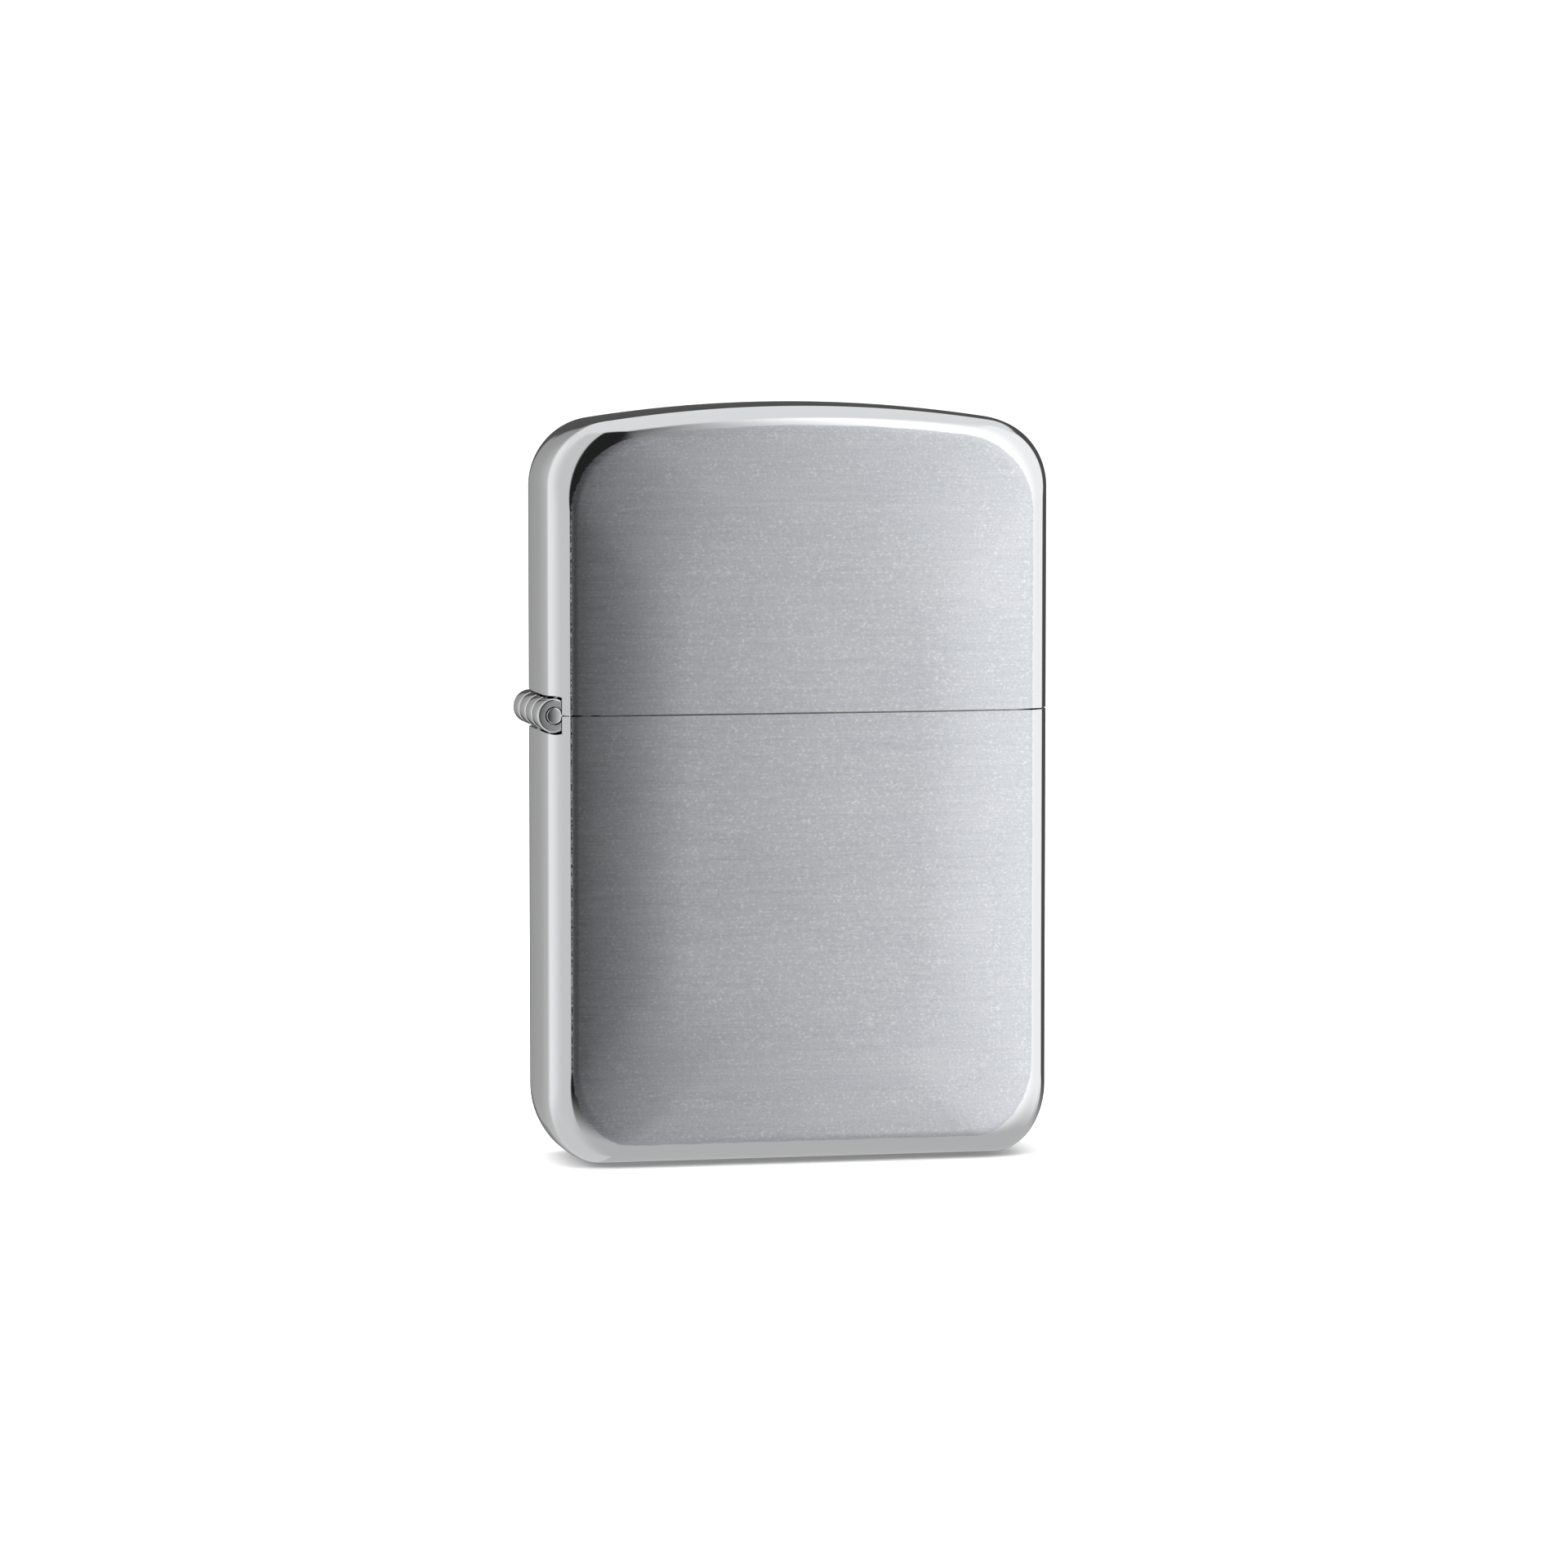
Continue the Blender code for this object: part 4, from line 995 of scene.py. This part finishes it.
head_top = screw_low.z + 1.4 * MM
thread = np.arange(screw_high.z - 0.3 * MM, head_top + 0.4 * MM, -0.15 * MM)[::-1]
shank = [(1.15 * MM if number % 2 else 1.03 * MM, level) for number, level in enumerate(thread)]
screw = solid("slotted_screw", turned((WHEEL.x, 0, 0), np.concatenate([
    soften([(CORE, screw_low.z), (screw_high.y, screw_low.z), (screw_high.y, head_top),
            (1.03 * MM, head_top)], 0.16 * MM), shank,
    [(1.0 * MM, screw_high.z), (CORE, screw_high.z)]]), "Z"))
combine(screw, block("slot", (WHEEL.x - 3 * MM, -0.25 * MM, screw_low.z - MM),
                     (WHEEL.x + 3 * MM, 0.25 * MM, screw_low.z + 0.5 * MM)))
mount(screw, "case", "brass", [METALS["brass"]], "flint_screw", bevel=0.05 * MM)

# %% Coil spring
coil_low, coil_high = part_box("flint_spring")
WIRE = 0.18 * MM
TURNS = 18


def coil():
    """Wire centre (r cos a, r sin a, low + climb a); each ring of the wire faces along it."""
    radius = 0.97 * MM
    low, high = coil_low.z + WIRE, coil_high.z - WIRE
    a = np.linspace(0, 2 * np.pi * TURNS, 28 * TURNS + 1)[:, None]
    climb = math.atan2((high - low) / TURNS, 2 * math.pi * radius)
    b = np.linspace(0, 2 * np.pi, 12, endpoint=False)
    out = radius + WIRE * np.cos(b)
    slant = -WIRE * np.sin(b) * math.sin(climb)
    x = out * np.cos(a) - slant * np.sin(a)
    y = out * np.sin(a) + slant * np.cos(a)
    z = low + (high - low) * a / a[-1] + WIRE * np.sin(b) * math.cos(climb)
    return solid("coil_spring", np.stack([WHEEL.x + x, y, z], -1))


spring = mount(coil(), "case", "spring_steel", [METALS["spring_steel"]], "flint_spring")
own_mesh(spring)

# %% [markdown]
# ## The wick
#
# A windproof wick is cotton braided round fine copper. The braid is two families of strands
# that wind opposite ways and pass over and under each other. On a tube, that is a product of
# two waves in the angle and the length. The tube follows the folded route between the pads
# and then rises through the deck.

# %% Route and braid
pad_boxes = [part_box("cotton_pad_%d" % number) for number in range(1, 7)]
PAD_LAYERS = 5
PAD_LOW = pad_boxes[0][0].z
PAD_THICK = pad_boxes[0][1].z - PAD_LOW
PAD_PITCH = pad_boxes[1][0].z - PAD_LOW


def wick_route():
    """Middle line (x, z): straight runs between the layers joined by half circles."""
    reach = PAD_PITCH / 2
    turn = reach + WICK_RADIUS + 0.15 * MM
    near, far = pad_boxes[0][0].x + turn, pad_boxes[0][1].x - turn
    level = PAD_LOW + PAD_THICK + WICK_RADIUS + 0.15 * MM
    points = [np.array([(near, level)])]
    for layer in range(1, PAD_LAYERS - 1):
        height = level + (layer - 0.5) * PAD_PITCH
        side = (far, -90, 90) if layer % 2 else (near, 270, 90)
        points.append(arc((side[0], height), [reach] * 2, *side[1:], 17))
    last = level + (PAD_LAYERS - 2) * PAD_PITCH
    points.append(arc((WICK_X + reach, last + reach), [reach] * 2, 270, 180, 17))
    points.append(np.array([(WICK_X, wick_high.z)]))
    return np.concatenate(points)


def braided_wick():
    """Radius R (0.86 + 0.13 w) round the route, for a braid w and a slightly drawn-in tip.

    The braid is w = the square root of |sin(2 a + k s) sin(2 a - k s)|, for the angle a round
    the wick and the length s along it.
    """
    route = wick_route()
    steps = np.linalg.norm(np.diff(route, axis=0), axis=1)
    total = np.concatenate([[0], np.cumsum(steps)])
    s = np.linspace(0, total[-1], int(total[-1] / (0.14 * MM)))
    x, z = np.interp(s, total, route[:, 0]), np.interp(s, total, route[:, 1])
    dx, dz = np.gradient(x), np.gradient(z)
    size = np.hypot(dx, dz)
    side_x, side_z = dz / size, -dx / size
    a = np.linspace(0, 2 * np.pi, 32, endpoint=False)
    wave = s[:, None] * (2 * np.pi / (3.2 * MM))
    weave = np.abs(np.sin(2 * a + wave) * np.sin(2 * a - wave)) ** 0.5
    fray = np.clip(1 - (total[-1] - s[:, None]) / (0.5 * MM), 0, 1) ** 3
    radius = WICK_RADIUS * (0.86 + 0.13 * weave) * (1 - 0.25 * fray)
    grid = np.stack([x[:, None] + radius * np.cos(a) * side_x[:, None], radius * np.sin(a),
                     z[:, None] + radius * np.cos(a) * side_z[:, None]], -1)
    return solid("braided_wick", grid)


mount(braided_wick(), "case", "wick_cotton", [CLOTH["wick_cotton"]], "wick")

# %% [markdown]
# ## Cotton and felt
#
# The tank is packed with loose cotton, folded in layers with the wick between them, and a
# felt pad closes its foot. Pushed-in cotton is a rounded, lumpy mass: a rectangle in plan at
# every level, drawn in at its top and bottom, with small dents. Sums of sine waves give the
# dents the same shape every time. The dents only go inwards, so a pad stays in its space.

# %% Packing pads
def lumps(points, size):
    """Dents from 0 to 1: the square of 0.6 f + 0.4 g, two products of mixed sine waves."""
    x, y, z = np.moveaxis(points / size, -1, 0)
    first = np.sin(2.1 * x + 1.3 * np.sin(1.7 * y)) * np.sin(2.3 * y + 1.1 * z)
    second = np.sin(1.9 * z + 1.4 * np.sin(2.2 * x)) * np.sin(4.3 * x + 3.1 * y)
    return (first * 0.6 + second * 0.4) ** 2


def pad_rings(left, right, half, low, high, soft, levels=18):
    """Plan rings up a pad, drawn in by soft (1 - sin t) near its top and bottom."""
    t = np.linspace(0, np.pi / 2, levels // 2)
    draw = soft * (1 - np.sin(t))
    rise = soft * (1 - np.cos(t))
    draw, z = np.concatenate([draw, draw[::-1]]), np.concatenate([low + rise, high - rise[::-1]])
    corner = 2.0 * MM
    rings = [np.insert(plan_ring(left + d, right - d, half - d, corner - 0.5 * d, 24), 2,
                       level, axis=1) for d, level in zip(draw, z)]
    return np.array(rings)


def filled_ends(grid, rings=9):
    """More rings across both flat ends, shrinking to their middles, so that they can dent."""
    k = np.linspace(0.04, 1, rings, endpoint=False)[:, None, None]
    low_middle, high_middle = grid[0].mean(0), grid[-1].mean(0)
    return np.concatenate([low_middle + (grid[0] - low_middle) * k, grid,
                           high_middle + (grid[-1] - high_middle) * k[::-1]])


def dented(grid, depth, size):
    """Move every point towards the middle of the pad by up to a depth."""
    middle_point = (grid.min((0, 1)) + grid.max((0, 1))) / 2
    inwards = middle_point - grid
    length = np.linalg.norm(inwards, axis=-1, keepdims=True)
    return grid + inwards / length * (depth * lumps(grid, size)[..., None])


for number, (low, high) in enumerate(pad_boxes, 1):
    node = "cotton_pad_%d" % number
    grid = filled_ends(pad_rings(low.x, high.x, high.y, low.z, high.z, 0.9 * MM))
    pad = solid("packed_cotton_%d" % number, dented(grid, 0.35 * MM, 0.9 * MM))
    mount(pad, "case", "cotton_packing", [CLOTH["cotton_packing"]], node)

# %% Felt pad
felt_low, felt_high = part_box("felt_pad")
felt_inset = felt_low.z - tank_low.z
foot_part = [ring for ring in tank_rings(felt_inset, felt_high.z) if ring[0, 2] < felt_high.z]
felt_top = foot_part[-1].copy()
felt_top[:, 2] = felt_high.z
felt = solid("pressed_felt", np.array([*foot_part, felt_top]))
felt_hole = [(screw_high.y + 0.15 * MM, 0), (screw_high.y + 0.15 * MM, 0.01)]
combine(felt, solid("felt_hole", turned((WHEEL.x, 0, 0), felt_hole, "Z", 96)))
mount(felt, "case", "felt", [CLOTH["felt"]], "felt_pad", bevel=0.15 * MM)

# %% [markdown]
# ## The stage
#
# A chrome object shows its surroundings, so the stage is built in two parts. This part is
# what the camera sees round the object: a white sweep behind and below it, lit by a large
# soft lamp above and a weaker one on the left. Neither shows in a reflection. What the
# metal reflects is drawn separately, in the light tent below.

# %% Floor, backdrop and lamps
def sweep(width, front, back, height, bend):
    """A floor that turns up into a wall: straight, a quarter circle, straight."""
    t = np.linspace(0, np.pi / 2, 24)
    y = np.concatenate([[-front], back - bend + bend * np.sin(t), [back]])
    z = np.concatenate([[0], bend - bend * np.cos(t), [height]])
    x = np.linspace(-width, width, 2)
    grid = np.stack([np.broadcast_to(x, (len(y), 2)), np.repeat(y[:, None], 2, 1),
                     np.repeat(z[:, None], 2, 1)], -1)
    return grid


paper = sweep(1.6, 1.6, 1.4, 1.8, 0.5)
floor = make_piece("floor", paper, grid_faces(*paper.shape[:2], wrap_columns=False))
floor.location.z = -0.0002
paper_paint = Paint("paper", metallic=0.0)
paper_tooth = paper_paint.noise((0.5, 0.5, 0.5), detail=3.0)
floor.data.materials.append(paper_paint.finish(
    paper_paint.blend(paper_tooth, (0.88, 0.88, 0.88), (0.91, 0.91, 0.91)), 0.9))


def lamp(name, azimuth, elevation, distance, size, power):
    """A rectangular lamp that looks at the middle of the object and shows in no reflection."""
    light = bpy.data.lights.new(name, "AREA")
    light.shape = "RECTANGLE"
    light.size, light.size_y = size
    light.energy = power
    holder = bpy.data.objects.new(name, light)
    holder.visible_glossy = False
    aim(holder, middle, direction(azimuth, elevation), distance)


lamp("sky", 0, 80, 0.9, (1.2, 1.2), 9.0)
lamp("left_fill", -60, 30, 0.9, (0.6, 0.6), 3.0)

# %% [markdown]
# ## The light tent
#
# A studio lights polished metal inside a tent of white cloth with dark strips, so that every
# reflection is placed by hand. Here the tent is a sphere that only reflections can see. Its
# brightness is a formula of the compass angle and the height angle: cloth on the left that
# is brightest a little behind the side and fades both ways, a dark stretch in front that
# fades into the bright right, a very dark wall all round the back on the right, which draws
# the dark outline, a bright top, and a light floor. An image of a studio would do the same,
# but a formula can be moved by a degree. Only the cloth's colour varies.

# %% The tent
TENT_RADIUS = 160 * MM


def tent_light(paint):
    """Brightness over the sphere, from the compass angle (0 front, + right) and height."""
    x, y, z = (paint.axis(letter) for letter in "XYZ")
    compass = x.math("ARCTAN2", y * -1.0) * (180 / math.pi)
    height = (z / TENT_RADIUS).math("ARCSINE") * (180 / math.pi)
    left_cloth = 1 - compass.step(-40, -36)
    left_back = compass.step(-169, -131)
    left_side = left_cloth * (0.34 + 0.68 * left_back - 0.30 * compass.step(-120, -65))
    right_cloth = compass.step(-9, 29) * 1.50 - compass.step(32, 70) * 0.35
    around = left_side + right_cloth + 0.02
    strip = compass.step(100, 106) + (1 - compass.step(-173, -170))
    walls = around * (1 - strip) + 0.09 * strip
    behind = abs(compass).step(90, 91)
    top = (height - (66 - behind * 20)).step(-3, 3)
    foot = (-1 * height - (32 - behind * 6)).step(-12, 12)
    lit = walls * (1 - top) + 0.95 * top
    return lit * (1 - foot) + foot * (0.76 - 0.18 * compass.step(-60, -20))


def light_tent():
    """A sphere point = centre + R (cos a cos e, sin a cos e, sin e), seen only in gloss."""
    a = np.linspace(0, 2 * np.pi, 96, endpoint=False)
    e = np.radians(np.linspace(-89, 89, 48))[:, None]
    grid = np.stack([np.cos(e) * np.cos(a), np.cos(e) * np.sin(a),
                     np.sin(e) * np.ones_like(a)], -1) * TENT_RADIUS
    tent = solid("light_tent", grid)
    tent.location = middle
    paint = Paint("tent_cloth")
    # the brightness is halved into a blend that reaches (2, 2, 2), as a blend stops at 1
    cloth = paint.blend(tent_light(paint) * 0.5, (0.0, 0.0, 0.0), (2.0, 2.0, 2.0))
    glow = paint.node("Emission", {}, {"Color": cloth, "Strength": 1.0})
    paint.tree.links.new(glow.socket, paint.tree.nodes["Material Output"].inputs["Surface"])
    tent.data.materials.append(paint.material)
    for kind in ("camera", "diffuse", "transmission", "volume_scatter", "shadow"):
        setattr(tent, "visible_" + kind, False)


light_tent()
floor.visible_glossy = False

world = bpy.data.worlds.new("studio")
world.use_nodes = True
world.node_tree.nodes["Background"].inputs["Color"].default_value = (1.0, 1.0, 1.0, 1.0)
world.node_tree.nodes["Background"].inputs["Strength"].default_value = 1.15
world.cycles_visibility.glossy = False
bpy.context.scene.world = world
bpy.context.scene.view_settings.view_transform = "Standard"
